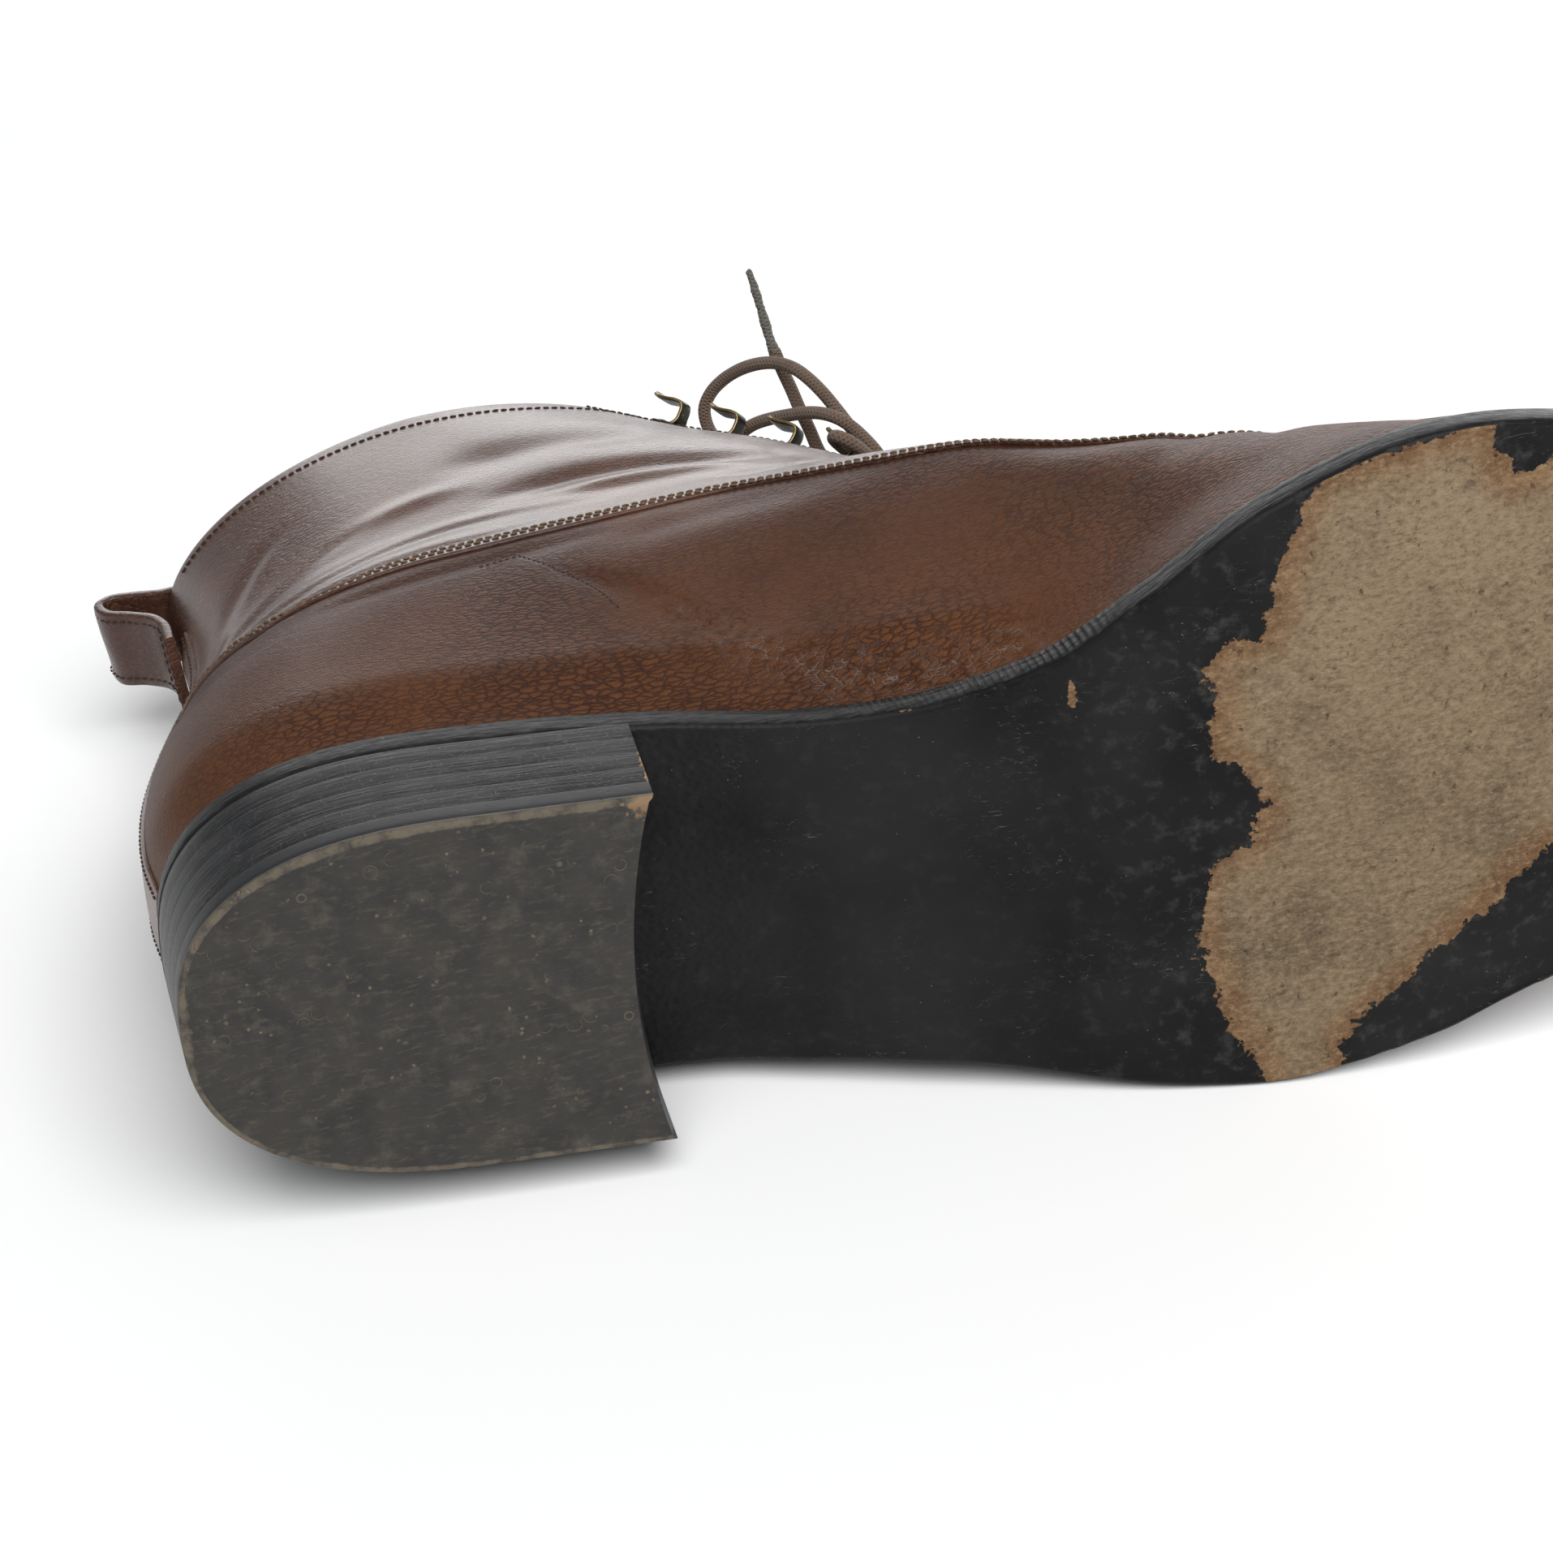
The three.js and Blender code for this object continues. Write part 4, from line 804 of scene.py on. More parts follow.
# Stitches
def stitch_tree():
    """Nodes that lay one short thread after another along a line."""
    found = bpy.data.node_groups.get("stitch_row")
    if found:
        return found
    tree = bpy.data.node_groups.new("stitch_row", "GeometryNodeTree")
    tree.interface.new_socket(name="Geometry", in_out="OUTPUT", socket_type="NodeSocketGeometry")
    for name, kind in (
        ("Geometry", "NodeSocketGeometry"), ("Pitch", "NodeSocketFloat"), ("Length", "NodeSocketFloat"),
        ("Thread", "NodeSocketFloat"), ("Seed", "NodeSocketInt"), ("Material", "NodeSocketMaterial"),
    ):
        tree.interface.new_socket(name=name, in_out="INPUT", socket_type=kind)

    def node(kind, settings=(), links=()):
        made = tree.nodes.new(kind)
        for key, value in dict(settings).items():
            setattr(made, key, value)
        for socket, value in dict(links).items():
            if isinstance(value, bpy.types.NodeSocket):
                tree.links.new(value, made.inputs[socket])
            else:
                made.inputs[socket].default_value = value
        return made

    given = node("NodeGroupInput").outputs
    line = node("GeometryNodeMeshToCurve", (), {"Mesh": given["Geometry"]})
    points = node(
        "GeometryNodeCurveToPoints", {"mode": "LENGTH"},
        {"Curve": line.outputs[0], "Length": given["Pitch"]},
    )
    scale = node(
        "ShaderNodeCombineXYZ", (), {"X": given["Thread"], "Y": given["Thread"], "Z": given["Length"]}
    )
    ball = node("GeometryNodeMeshUVSphere", (), {"Segments": 7, "Rings": 5, "Radius": 0.5})
    thread = node("GeometryNodeTransform", (), {"Geometry": ball.outputs[0], "Scale": scale.outputs[0]})
    lean = node(
        "FunctionNodeRandomValue", {"data_type": "FLOAT_VECTOR"},
        {0: (-0.12, -0.12, 0.0), 1: (0.12, 0.12, 0.0), "Seed": given["Seed"]},
    )
    turned = node(
        "FunctionNodeRotateRotation", {"rotation_space": "LOCAL"},
        {"Rotation": points.outputs["Rotation"], "Rotate By": lean.outputs[0]},
    )
    laid = node(
        "GeometryNodeInstanceOnPoints", (),
        {"Points": points.outputs[0], "Instance": thread.outputs[0], "Rotation": turned.outputs[0]},
    )
    real = node("GeometryNodeRealizeInstances", (), {"Geometry": laid.outputs[0]})
    smooth = node("GeometryNodeSetShadeSmooth", (), {"Geometry": real.outputs[0]})
    painted = node(
        "GeometryNodeSetMaterial", (), {"Geometry": smooth.outputs[0], "Material": given["Material"]}
    )
    out = node("NodeGroupOutput")
    tree.links.new(painted.outputs[0], out.inputs[0])
    return tree


def make_stitches(name, lines, shape, pitch, length, thread, material, slot):
    """Rows of stitches along lines of the standing boot, as one plain mesh."""
    corners, edges = [], []
    for line in lines:
        first = len(corners)
        corners.extend(shape.lay(line).tolist())
        edges.extend((i, i + 1) for i in range(first, first + len(line) - 1))
    carrier_mesh = bpy.data.meshes.new(name + "_line")
    carrier_mesh.from_pydata(corners, edges, [])
    carrier = bpy.data.objects.new(name + "_line", carrier_mesh)
    bpy.context.scene.collection.objects.link(carrier)
    modifier = carrier.modifiers.new("stitches", "NODES")
    modifier.node_group = stitch_tree()
    wanted = {"Pitch": pitch, "Length": length, "Thread": thread, "Seed": 3, "Material": material}
    for item in modifier.node_group.interface.items_tree:
        if item.in_out == "INPUT" and item.name in wanted:
            modifier[item.identifier] = wanted[item.name]
    graph = bpy.context.evaluated_depsgraph_get()
    mesh = bpy.data.meshes.new_from_object(carrier.evaluated_get(graph), depsgraph=graph)
    if not mesh.polygons:
        raise RuntimeError(f"{name}: no stitches were laid")
    mesh.name = name
    bpy.data.objects.remove(carrier)
    return put_in(name, mesh)


# Shader maths
class Value:
    """A node's output that can stand in a sum."""

    def __init__(self, finish, socket):
        self.finish = finish
        self.socket = socket

    def maths(self, operation, *values):
        return self.finish.node("ShaderNodeMath", {"operation": operation}, dict(enumerate(values)))

    def __add__(self, other):
        return self.maths("ADD", self, other)

    def __radd__(self, other):
        return self.maths("ADD", other, self)

    def __sub__(self, other):
        return self.maths("SUBTRACT", self, other)

    def __rsub__(self, other):
        return self.maths("SUBTRACT", other, self)

    def __mul__(self, other):
        return self.maths("MULTIPLY", self, other)

    def __rmul__(self, other):
        return self.maths("MULTIPLY", other, self)

    def size(self):
        return self.maths("ABSOLUTE", self)

    def sine(self):
        return self.maths("SINE", self)

    def larger(self, other):
        return self.maths("MAXIMUM", self, other)

    def band(self, low, high):
        """0 below low, 1 above high, and smooth between. With low over high it falls instead."""
        flip = low > high
        ends = {"From Min": min(low, high), "From Max": max(low, high)}
        settings = {"interpolation_type": "SMOOTHSTEP"}
        made = self.finish.node("ShaderNodeMapRange", settings, {"Value": self, **ends})
        return 1 - made if flip else made


class Finish:
    """A material under construction."""

    def __init__(self, name):
        self.material = bpy.data.materials.new(name)
        self.material.use_nodes = True
        self.tree = self.material.node_tree
        self.tree.nodes.clear()

    def node(self, kind, settings=None, sockets=None, output=0):
        made = self.tree.nodes.new(kind)
        for key, value in (settings or {}).items():
            setattr(made, key, value)
        for socket, value in (sockets or {}).items():
            if isinstance(value, Value):
                self.tree.links.new(value.socket, made.inputs[socket])
            else:
                made.inputs[socket].default_value = value
        return Value(self, made.outputs[output]) if made.outputs else None

    def standing(self):
        return self.node("ShaderNodeAttribute", {"attribute_name": "standing"}, output="Vector")

    def field(self, name):
        return self.node("ShaderNodeAttribute", {"attribute_name": name}, output="Fac")

    def object_place(self):
        return self.node("ShaderNodeTexCoord", output="Object")

    def parts(self, vector):
        split = self.node("ShaderNodeSeparateXYZ", None, {"Vector": vector})
        return [Value(self, socket) for socket in split.socket.node.outputs]

    def stretched(self, vector, scale):
        return self.node("ShaderNodeMapping", None, {"Vector": vector, "Scale": scale})

    def pushed(self, vector, noise_scale, amount):
        """A vector that a noise pushes about by an amount."""
        random = self.node(
            "ShaderNodeTexNoise", None, {"Vector": vector, "Scale": noise_scale}, output="Color"
        )
        centred = self.node("ShaderNodeVectorMath", {"operation": "SUBTRACT"}, {0: random, 1: (0.5,) * 3})
        scaled = self.node("ShaderNodeVectorMath", {"operation": "SCALE"}, {0: centred, "Scale": amount})
        return self.node("ShaderNodeVectorMath", {"operation": "ADD"}, {0: vector, 1: scaled})

    def noise(self, vector, scale, detail=2.0, roughness=0.5):
        sockets = {"Vector": vector, "Scale": scale, "Detail": detail, "Roughness": roughness}
        return self.node("ShaderNodeTexNoise", None, sockets)

    def cells(self, vector, scale, feature="F1", smoothness=None):
        sockets = {"Vector": vector, "Scale": scale}
        if smoothness is not None:
            sockets["Smoothness"] = smoothness
        return self.node("ShaderNodeTexVoronoi", {"feature": feature}, sockets)

    def mix(self, first, second, factor):
        """The first colour where the factor is 0, and the second where it is 1."""
        first, second = (value if isinstance(value, Value) else solid(value) for value in (first, second))
        return self.node("ShaderNodeMix", {"data_type": "RGBA"}, {0: factor, 6: first, 7: second}, output=2)

    def layered(self, base, *coats):
        """A base colour under coats, each a colour and how much of it shows."""
        for colour, amount in coats:
            base = self.mix(base, colour, amount)
        return base

    def bump(self, height, distance, normal=None, strength=1.0):
        sockets = {"Height": height, "Distance": distance, "Strength": strength}
        if normal is not None:
            sockets["Normal"] = normal
        return self.node("ShaderNodeBump", None, sockets)

    def shade(self, **sockets):
        named = {key.replace("_", " ").title().replace("Ior", "IOR"): sockets[key] for key in sockets}
        shader = self.node("ShaderNodeBsdfPrincipled", None, named)
        self.node("ShaderNodeOutputMaterial", None, {"Surface": shader})
        return self.material


def solid(colour):
    return (*colour, 1.0)


def toned(colour, *factors):
    """A colour with its parts multiplied, all by one factor or each by its own."""
    return tuple(min(1.0, value * factor) for value, factor in zip(colour, factors * 3))


# Fixed shades that lie over the chosen colours
# Painted highlight on the fine lines of the waist crease
CREASE_HIGHLIGHT = (0.30, 0.22, 0.18)
EDGE_GREY = (0.045, 0.046, 0.048)
EDGE_DUST = (0.11, 0.105, 0.095)
EDGE_BARE = (0.20, 0.13, 0.07)
FIBRE_TAN = (0.27, 0.195, 0.12)
PALE_TAN = (0.30, 0.22, 0.14)
PALE_RUST = (0.26, 0.155, 0.080)
LIGHT_FLECK = (0.37, 0.275, 0.175)
DARK_FLECK = (0.075, 0.048, 0.030)
BLOT = (0.035, 0.024, 0.018)
PIT = (0.06, 0.035, 0.022)
WAX_HAZE = (0.016, 0.016, 0.017)
WAX_GREY = (0.075, 0.072, 0.068)
WAX_SCRATCH = (0.15, 0.145, 0.135)
WAX_SPECK = (0.30, 0.29, 0.26)
HEEL_HAZE = (0.040, 0.040, 0.042)
HEEL_LINE = (0.085, 0.083, 0.080)
HEEL_GRIT = (0.16, 0.15, 0.14)
HEEL_SCRATCH = (0.22, 0.21, 0.19)
HEEL_BARE = (0.33, 0.215, 0.115)
RUBBER_DARK = (0.020, 0.019, 0.018)
RUBBER_DUST = (0.085, 0.075, 0.060)
RUBBER_CRUMB = (0.20, 0.155, 0.095)
RUBBER_RING = (0.16, 0.135, 0.09)
RUBBER_STREAK = (0.088, 0.073, 0.052)
RUBBER_RIM = (0.20, 0.16, 0.11)
RUBBER_CORNER = (0.27, 0.165, 0.085)
RUBBER_SIDE = (0.014, 0.014, 0.015)
HOOK_BLACK = (0.055, 0.055, 0.048)
INSOLE_TAN = (0.36, 0.23, 0.13)
DARK_THREAD = (0.045, 0.020, 0.012)
WELT_THREAD = (0.030, 0.029, 0.027)
TIP_GREY = (0.19, 0.175, 0.145)


# Materials
def chestnut_leather(name, colours, grain, polish):
    """Polished brown calf: fine grain that runs lengthwise, darker in its valleys, burnished in places,
    with a painted highlight on the fine lines at the waist crease.
    """
    finish = Finish(name)
    place = finish.standing()
    _, _, z = finish.parts(place)
    wavy = finish.pushed(place, 340, 0.0011)
    cells = finish.cells(finish.stretched(wavy, (0.42, 0.8, 1.1)), 950, "DISTANCE_TO_EDGE")
    fine_cells = finish.cells(finish.stretched(wavy, (0.6, 0.9, 1.1)), 2200, "DISTANCE_TO_EDGE")
    pores = finish.noise(place, 5200, 2, 0.6)
    strong = 0.35 + 0.65 * finish.noise(place, 24, 2).band(0.36, 0.62)
    valleys = cells.band(0.20, 0.0) * strong
    height = cells.band(0.0, 0.30) * strong + fine_cells.band(0.0, 0.25) * 0.35 + pores * 0.12
    patches = finish.noise(place, 38, 3, 0.55)
    # Painted highlight: pale lines along the grain's cell edges near the waist crease
    crease_highlights = cells.band(0.075, 0.01).larger(fine_cells.band(0.05, 0.0) * 0.5) * finish.field("crease")
    brown = finish.layered(
        colours.leather,
        (toned(colours.leather, 0.72, 0.70, 0.95), z.band(0.040, 0.080)),
        (colours.leather_dark, patches.band(0.40, 0.78) * 0.5),
        (toned(colours.leather, 1.45, 1.36, 1.05), finish.noise(place, 18, 2).band(0.46, 0.72) * 0.55),
        (colours.leather_dark, valleys * (0.95 * grain)),
        (CREASE_HIGHLIGHT, crease_highlights * finish.noise(place, 420, 2).band(0.42, 0.58) * 0.45),
    )
    rough = 0.42 - 0.12 * polish + 0.16 * patches + 0.10 * pores
    low = finish.bump(finish.noise(place, 120, 3, 0.5), 0.0007, None, 0.35)
    return finish.shade(
        base_color=brown, roughness=rough, normal=finish.bump(height, 0.00022 * grain, low),
        coat_weight=0.45 * polish, coat_roughness=0.25, specular_ior_level=0.15 + 0.15 * polish,
    )


def soft_leather(name, colour, scale, depth, roughness):
    """Matt leather with a fine even grain: lining, tongue and insole."""
    finish = Finish(name)
    place = finish.object_place()
    grain = finish.cells(finish.pushed(place, 300, 0.001), scale)
    fibres = finish.noise(place, 2600, 3, 0.6)
    stains = finish.noise(place, 30, 4, 0.6)
    dark = toned(colour, 0.55)
    brown = finish.layered(colour, (dark, stains.band(0.35, 0.8)), (dark, grain.band(0.35, 0.8) * 0.5))
    normal = finish.bump(1 - grain + fibres * 0.3, depth)
    return finish.shade(base_color=brown, roughness=roughness + 0.12 * stains, normal=normal)


def waxed_edge(name, colours):
    """Black waxed edges of sole and welt: fine lines along, marks of the edge iron and rubbed places."""
    finish = Finish(name)
    place = finish.standing()
    x, _, _ = finish.parts(place)
    along = finish.noise(finish.stretched(place, (0.16, 0.16, 1.0)), 1500, 3, 0.6)
    dents = finish.noise(place, 620, 3, 0.55)
    marks = ((x * 5200).sine() * 0.5 + 0.5) * (x - 0.141).size().band(0.028, 0.014)
    dust = finish.noise(place, 900, 4, 0.7).band(0.60, 0.78)
    rubbed = finish.noise(place, 240, 4, 0.65).band(0.60, 0.72)
    black = finish.layered(
        colours.black,
        (EDGE_GREY, along.band(0.4, 0.75) * 0.6),
        (EDGE_DUST, dust * 0.35),
        (EDGE_BARE, rubbed * finish.noise(place, 40, 2).band(0.58, 0.68) * 0.8),
    )
    normal = finish.bump(along * 0.5 + dents * 0.5 + marks * 0.5, 0.00022)
    rough = 0.34 + 0.22 * dents - 0.1 * marks
    return finish.shade(base_color=black, roughness=rough, normal=normal, specular_ior_level=0.22)


def outsole_leather(colours):
    """Outer sole: black wax over the waist, bare grey-brown leather where the ball has walked."""
    finish = Finish("outsole_leather")
    place = finish.standing()
    x, y, _ = finish.parts(place)
    worn = finish.field("worn")
    coarse = (finish.noise(place, 190, 4, 0.62) - 0.5) * 9.0
    ragged = coarse + (finish.noise(place, 900, 3, 0.6) - 0.5) * 3.0
    bare = (worn + ragged).band(-0.12, 0.22)
    rim = (worn + (finish.noise(place, 70, 3, 0.6) - 0.5) * 9.0).band(8.0, 0.5)
    fibres = finish.noise(finish.stretched(place, (0.5, 1.0, 1.0)), 2400, 4, 0.7)
    clouds = finish.noise(place, 55, 5, 0.62)
    mottle = finish.noise(finish.stretched(place, (0.65, 1.0, 1.0)), 980, 5, 0.85)
    blots = finish.noise(place, 240, 5, 0.68).band(0.57, 0.74)
    pits = finish.noise(finish.stretched(place, (1.0, 0.6, 1.0)), 620, 3, 0.6).band(0.63, 0.76)
    rust = finish.mix(colours.worn_rim, PALE_RUST, finish.noise(place, 130, 4, 0.65).band(0.46, 0.62) * 0.7)
    tan = finish.layered(
        colours.worn,
        (toned(colours.worn, 0.42), clouds.band(0.42, 0.74) * 0.75),
        (FIBRE_TAN, fibres.band(0.45, 0.75) * 0.55),
        (PALE_TAN, y.band(0.010, -0.045) * 0.45),
        (rust, (rim * 0.8).larger(finish.field("edge") * 0.85)),
        (LIGHT_FLECK, mottle.band(0.50, 0.64) * 0.45),
        (DARK_FLECK, mottle.band(0.50, 0.37) * 0.55),
        (BLOT, blots * 0.5),
        (PIT, pits * 0.7),
    )
    haze = finish.noise(place, 26, 3, 0.5)
    scratch = finish.noise(finish.stretched(finish.pushed(place, 60, 0.004), (0.25, 1.6, 1.0)), 420, 2, 0.5)
    scratches = (scratch - 0.5).size().band(0.006, 0.0) * finish.noise(place, 60, 2).band(0.52, 0.64)
    specks = finish.cells(place, 520).band(0.09, 0.03) * finish.noise(place, 130, 2).band(0.50, 0.60)
    near_ball = x.band(0.140, 0.176)
    grey = finish.noise(place, 320, 4, 0.66).band(0.50, 0.74)
    black = finish.layered(
        colours.black,
        (WAX_HAZE, haze.band(0.35, 0.7)),
        (WAX_GREY, grey * (0.10 + 0.32 * near_ball)),
        (WAX_SCRATCH, scratches * 0.6),
        (WAX_SPECK, specks * 0.4),
    )
    chip = (finish.field("chips") + (finish.noise(place, 800, 3, 0.6) - 0.5) * 1.3).band(0.0, 0.15)
    bare = bare.larger(chip)
    pebbles = finish.cells(finish.stretched(place, (0.8, 1.0, 1.0)), 900, "SMOOTH_F1", 0.5)
    by_breast = x.band(0.128, 0.088)
    smooth_height = pebbles * (0.06 + 0.5 * by_breast) + finish.noise(place, 90, 3, 0.5) * 0.5
    bare_height = fibres * 0.6 + (1 - pits) * 0.9 + (1 - blots) * 0.4 - 0.9
    height = smooth_height + bare * (bare_height - smooth_height * 0.9) + scratches * -0.3
    rough_black = 0.33 + 0.20 * haze + 0.25 * near_ball * grey
    return finish.shade(
        base_color=finish.mix(black, tan, bare), roughness=rough_black + bare * (0.86 - rough_black),
        normal=finish.bump(height, 0.00028), specular_ior_level=0.12,
    )


def heel_leather(colours):
    """Stacked leather lifts, blackened and waxed: fine level lines, rubbed places and scratches."""
    finish = Finish("heel_leather")
    place = finish.standing()
    lines = finish.noise(finish.stretched(place, (0.07, 0.07, 1.0)), 1500, 3, 0.65)
    haze = finish.noise(place, 60, 4, 0.6)
    grit = finish.noise(place, 1300, 3, 0.7).band(0.56, 0.72)
    scratch = finish.noise(finish.stretched(finish.pushed(place, 80, 0.003), (0.8, 0.8, 2.0)), 330, 2, 0.5)
    scratches = (scratch - 0.5).size().band(0.007, 0.0) * finish.noise(place, 90, 2).band(0.50, 0.64)
    chips = (finish.field("chips") + (finish.noise(place, 700, 3, 0.6) - 0.5) * 2.0).band(0.0, 0.3)
    black = finish.layered(
        colours.black,
        (HEEL_HAZE, haze.band(0.3, 0.7) * 0.7),
        (HEEL_LINE, lines.band(0.55, 0.8) * 0.5),
        (HEEL_GRIT, grit * 0.22),
        (HEEL_SCRATCH, scratches * 0.35),
        (HEEL_BARE, chips),
    )
    rough = 0.33 + 0.16 * haze + 0.12 * grit + 0.3 * chips
    normal = finish.bump(lines * 0.7 + grit * 0.3 - chips * 1.2, 0.00016)
    return finish.shade(base_color=black, roughness=rough, normal=normal, specular_ior_level=0.2)


def heel_rubber(colours):
    """Worn top piece: dark rubber with pits, dust and tan crumbs, paler at its rounded rim."""
    finish = Finish("heel_rubber")
    place = finish.standing()
    _, _, z = finish.parts(place)
    clouds = finish.noise(place, 85, 5, 0.65)
    coarse = finish.noise(place, 420, 5, 0.7)
    dust = finish.noise(place, 190, 5, 0.7).band(0.50, 0.72)
    crumbs = finish.cells(finish.pushed(place, 700, 0.0008), 430).band(0.20, 0.08)
    crumbs = crumbs * finish.noise(place, 95, 3).band(0.50, 0.62)
    rings = (finish.cells(place, 260) - 0.32).size().band(0.05, 0.0)
    rings = rings * finish.noise(place, 140, 2).band(0.57, 0.66)
    streaks = finish.noise(finish.stretched(place, (0.3, 1.2, 1.0)), 800, 4, 0.75)
    pale = (finish.field("rim") + (finish.noise(place, 260, 4, 0.65) - 0.5) * 2.6).band(0.5, 1.3)
    chips = (finish.field("chips") + (finish.noise(place, 500, 4, 0.65) - 0.5) * 6.0).band(0.0, 1.2)
    side = z.band(0.0005, 0.0013)
    colour = finish.layered(
        colours.rubber,
        (RUBBER_DARK, clouds.band(0.4, 0.7)),
        (RUBBER_DUST, dust * 0.55),
        (RUBBER_CRUMB, crumbs * 0.7),
        (RUBBER_RING, rings * 0.5),
        (RUBBER_STREAK, streaks.band(0.52, 0.68) * 0.5),
        (RUBBER_RIM, pale * 0.55),
        (RUBBER_CORNER, chips * 0.75),
        (RUBBER_SIDE, side),
    )
    height = coarse * 0.6 + clouds * 0.6 - crumbs * 0.4 - rings * 0.4
    normal = finish.bump(height * (1 - 0.85 * side), 0.0005)
    return finish.shade(base_color=colour, roughness=0.68 + 0.2 * coarse - 0.30 * side, normal=normal)


def thread_finish(name, colour):
    """Twisted seam thread."""
    finish = Finish(name)
    ply = finish.noise(finish.object_place(), 3500, 2, 0.6)
    shade = finish.mix(colour, toned(colour, 0.35), ply.band(0.4, 0.7))
    return finish.shade(base_color=shade, roughness=0.62 + 0.1 * ply, normal=finish.bump(ply, 0.0002))


def hook_metal(colours):
    """Blackened brass, rubbed bright here and there."""
    finish = Finish("hook_metal")
    place = finish.object_place()
    rubbed = finish.noise(place, 420, 3, 0.6).band(0.55, 0.66)
    bright = (finish.field("edge") * 0.5).larger(rubbed * 0.3)
    colour = finish.mix(HOOK_BLACK, colours.brass, bright)
    rough = 0.30 + 0.2 * finish.noise(place, 1500, 3, 0.6)
    return finish.shade(base_color=colour, metallic=1.0, roughness=rough)


def woven_lace(name, colour, turns, fuzz):
    """Round braid: two sets of strands that cross, read from the cord's own map, with painted shade between
    the strands.
    """
    finish = Finish(name)
    u, v, _ = finish.parts(finish.node("ShaderNodeUVMap", {"uv_map": "along"}))
    along, around = 2 * math.pi / (0.8 * MM), 2 * math.pi * turns
    one = (u * along + v * around).sine()
    two = (u * along - v * around).sine()
    braid = one.larger(two) * 0.5 + 0.5
    place = finish.object_place()
    fibres = finish.noise(place, 3800, 3, 0.7)
    soil = finish.noise(place, 160, 4, 0.6)
    dark = toned(colour, 0.3)
    # The first dark layer is painted shade in the gaps between the crossing strands; the second is soil
    shade = finish.layered(
        colour,
        (dark, (1 - braid).band(0.25, 0.9) * 0.45),
        (toned(colour, 1.7), fibres.band(0.5, 0.8) * 0.6),
        (dark, soil.band(0.5, 0.75) * 0.4),
    )
    normal = finish.bump(braid + fibres * fuzz, 0.00035)
    return finish.shade(base_color=shade, roughness=0.85, normal=normal, sheen_weight=0.15)


def floor_finish(colours):
    """Plain pale studio floor."""
    return Finish("studio_floor").shade(base_color=solid(colours.floor), roughness=0.85)


FINISHES = {}


def finish_of(name, colours):
    """The named finish, made once."""
    makers = {
        "galosh_leather": lambda: chestnut_leather("galosh_leather", colours, 1.0, 0.15),
        "shaft_leather": lambda: chestnut_leather("shaft_leather", colours, 0.62, 1.0),
        "lining_leather": lambda: soft_leather("lining_leather", colours.lining, 1300, 0.0002, 0.62),
        "tongue_leather": lambda: soft_leather("tongue_leather", colours.tongue, 1000, 0.0003, 0.52),
        "insole_leather": lambda: soft_leather("insole_leather", INSOLE_TAN, 1700, 0.0002, 0.7),
        "waxed_edge": lambda: waxed_edge("waxed_edge", colours),
        "outsole_leather": lambda: outsole_leather(colours),
        "heel_leather": lambda: heel_leather(colours),
        "heel_rubber": lambda: heel_rubber(colours),
        "seam_thread": lambda: thread_finish("seam_thread", colours.thread),
        "dark_thread": lambda: thread_finish("dark_thread", DARK_THREAD),
        "welt_thread": lambda: thread_finish("welt_thread", WELT_THREAD),
        "hook_metal": lambda: hook_metal(colours),
        "lace_weave": lambda: woven_lace("lace_weave", colours.lace, 5, 0.5),
        "lace_tip_weave": lambda: woven_lace("lace_tip_weave", TIP_GREY, 3, 1.4),
    }
    if name not in FINISHES:
        FINISHES[name] = makers[name]()
    return FINISHES[name]


class PieceMaker:
    """What every operator here shares: undo, and the boot's sizes and colours."""

    bl_options = {"REGISTER", "UNDO"}

    def setting(self, context):
        return BootShape(context.scene.boot_sizes), context.scene.boot_sizes, context.scene.boot_colours


class BOOT_OT_camera(PieceMaker, bpy.types.Operator):
    """Set the photograph's camera"""

    bl_idname = "boot.camera"
    bl_label = "Camera"

    def execute(self, context):
        shape, _, _ = self.setting(context)
        data = bpy.data.cameras.new("camera")
        data.sensor_fit = "HORIZONTAL"
        data.sensor_width = SENSOR
        data.lens = SENSOR * CAMERA_FOCUS / PHOTO_WIDTH
        data.clip_start = NEAREST_VIEW
        camera = bpy.data.objects.new("camera", data)
        context.scene.collection.objects.link(camera)
        back = -(shape.lay_turn @ np.array(CAMERA_WAY))
        up = shape.lay_turn @ np.array(CAMERA_UP)
        place = Matrix(np.column_stack([np.cross(up, back), up, back]).tolist()).to_4x4()
        place.translation = Vector(shape.lay(CAMERA_PLACE))
        camera.matrix_world = place
        context.scene.camera = camera
        return {"FINISHED"}


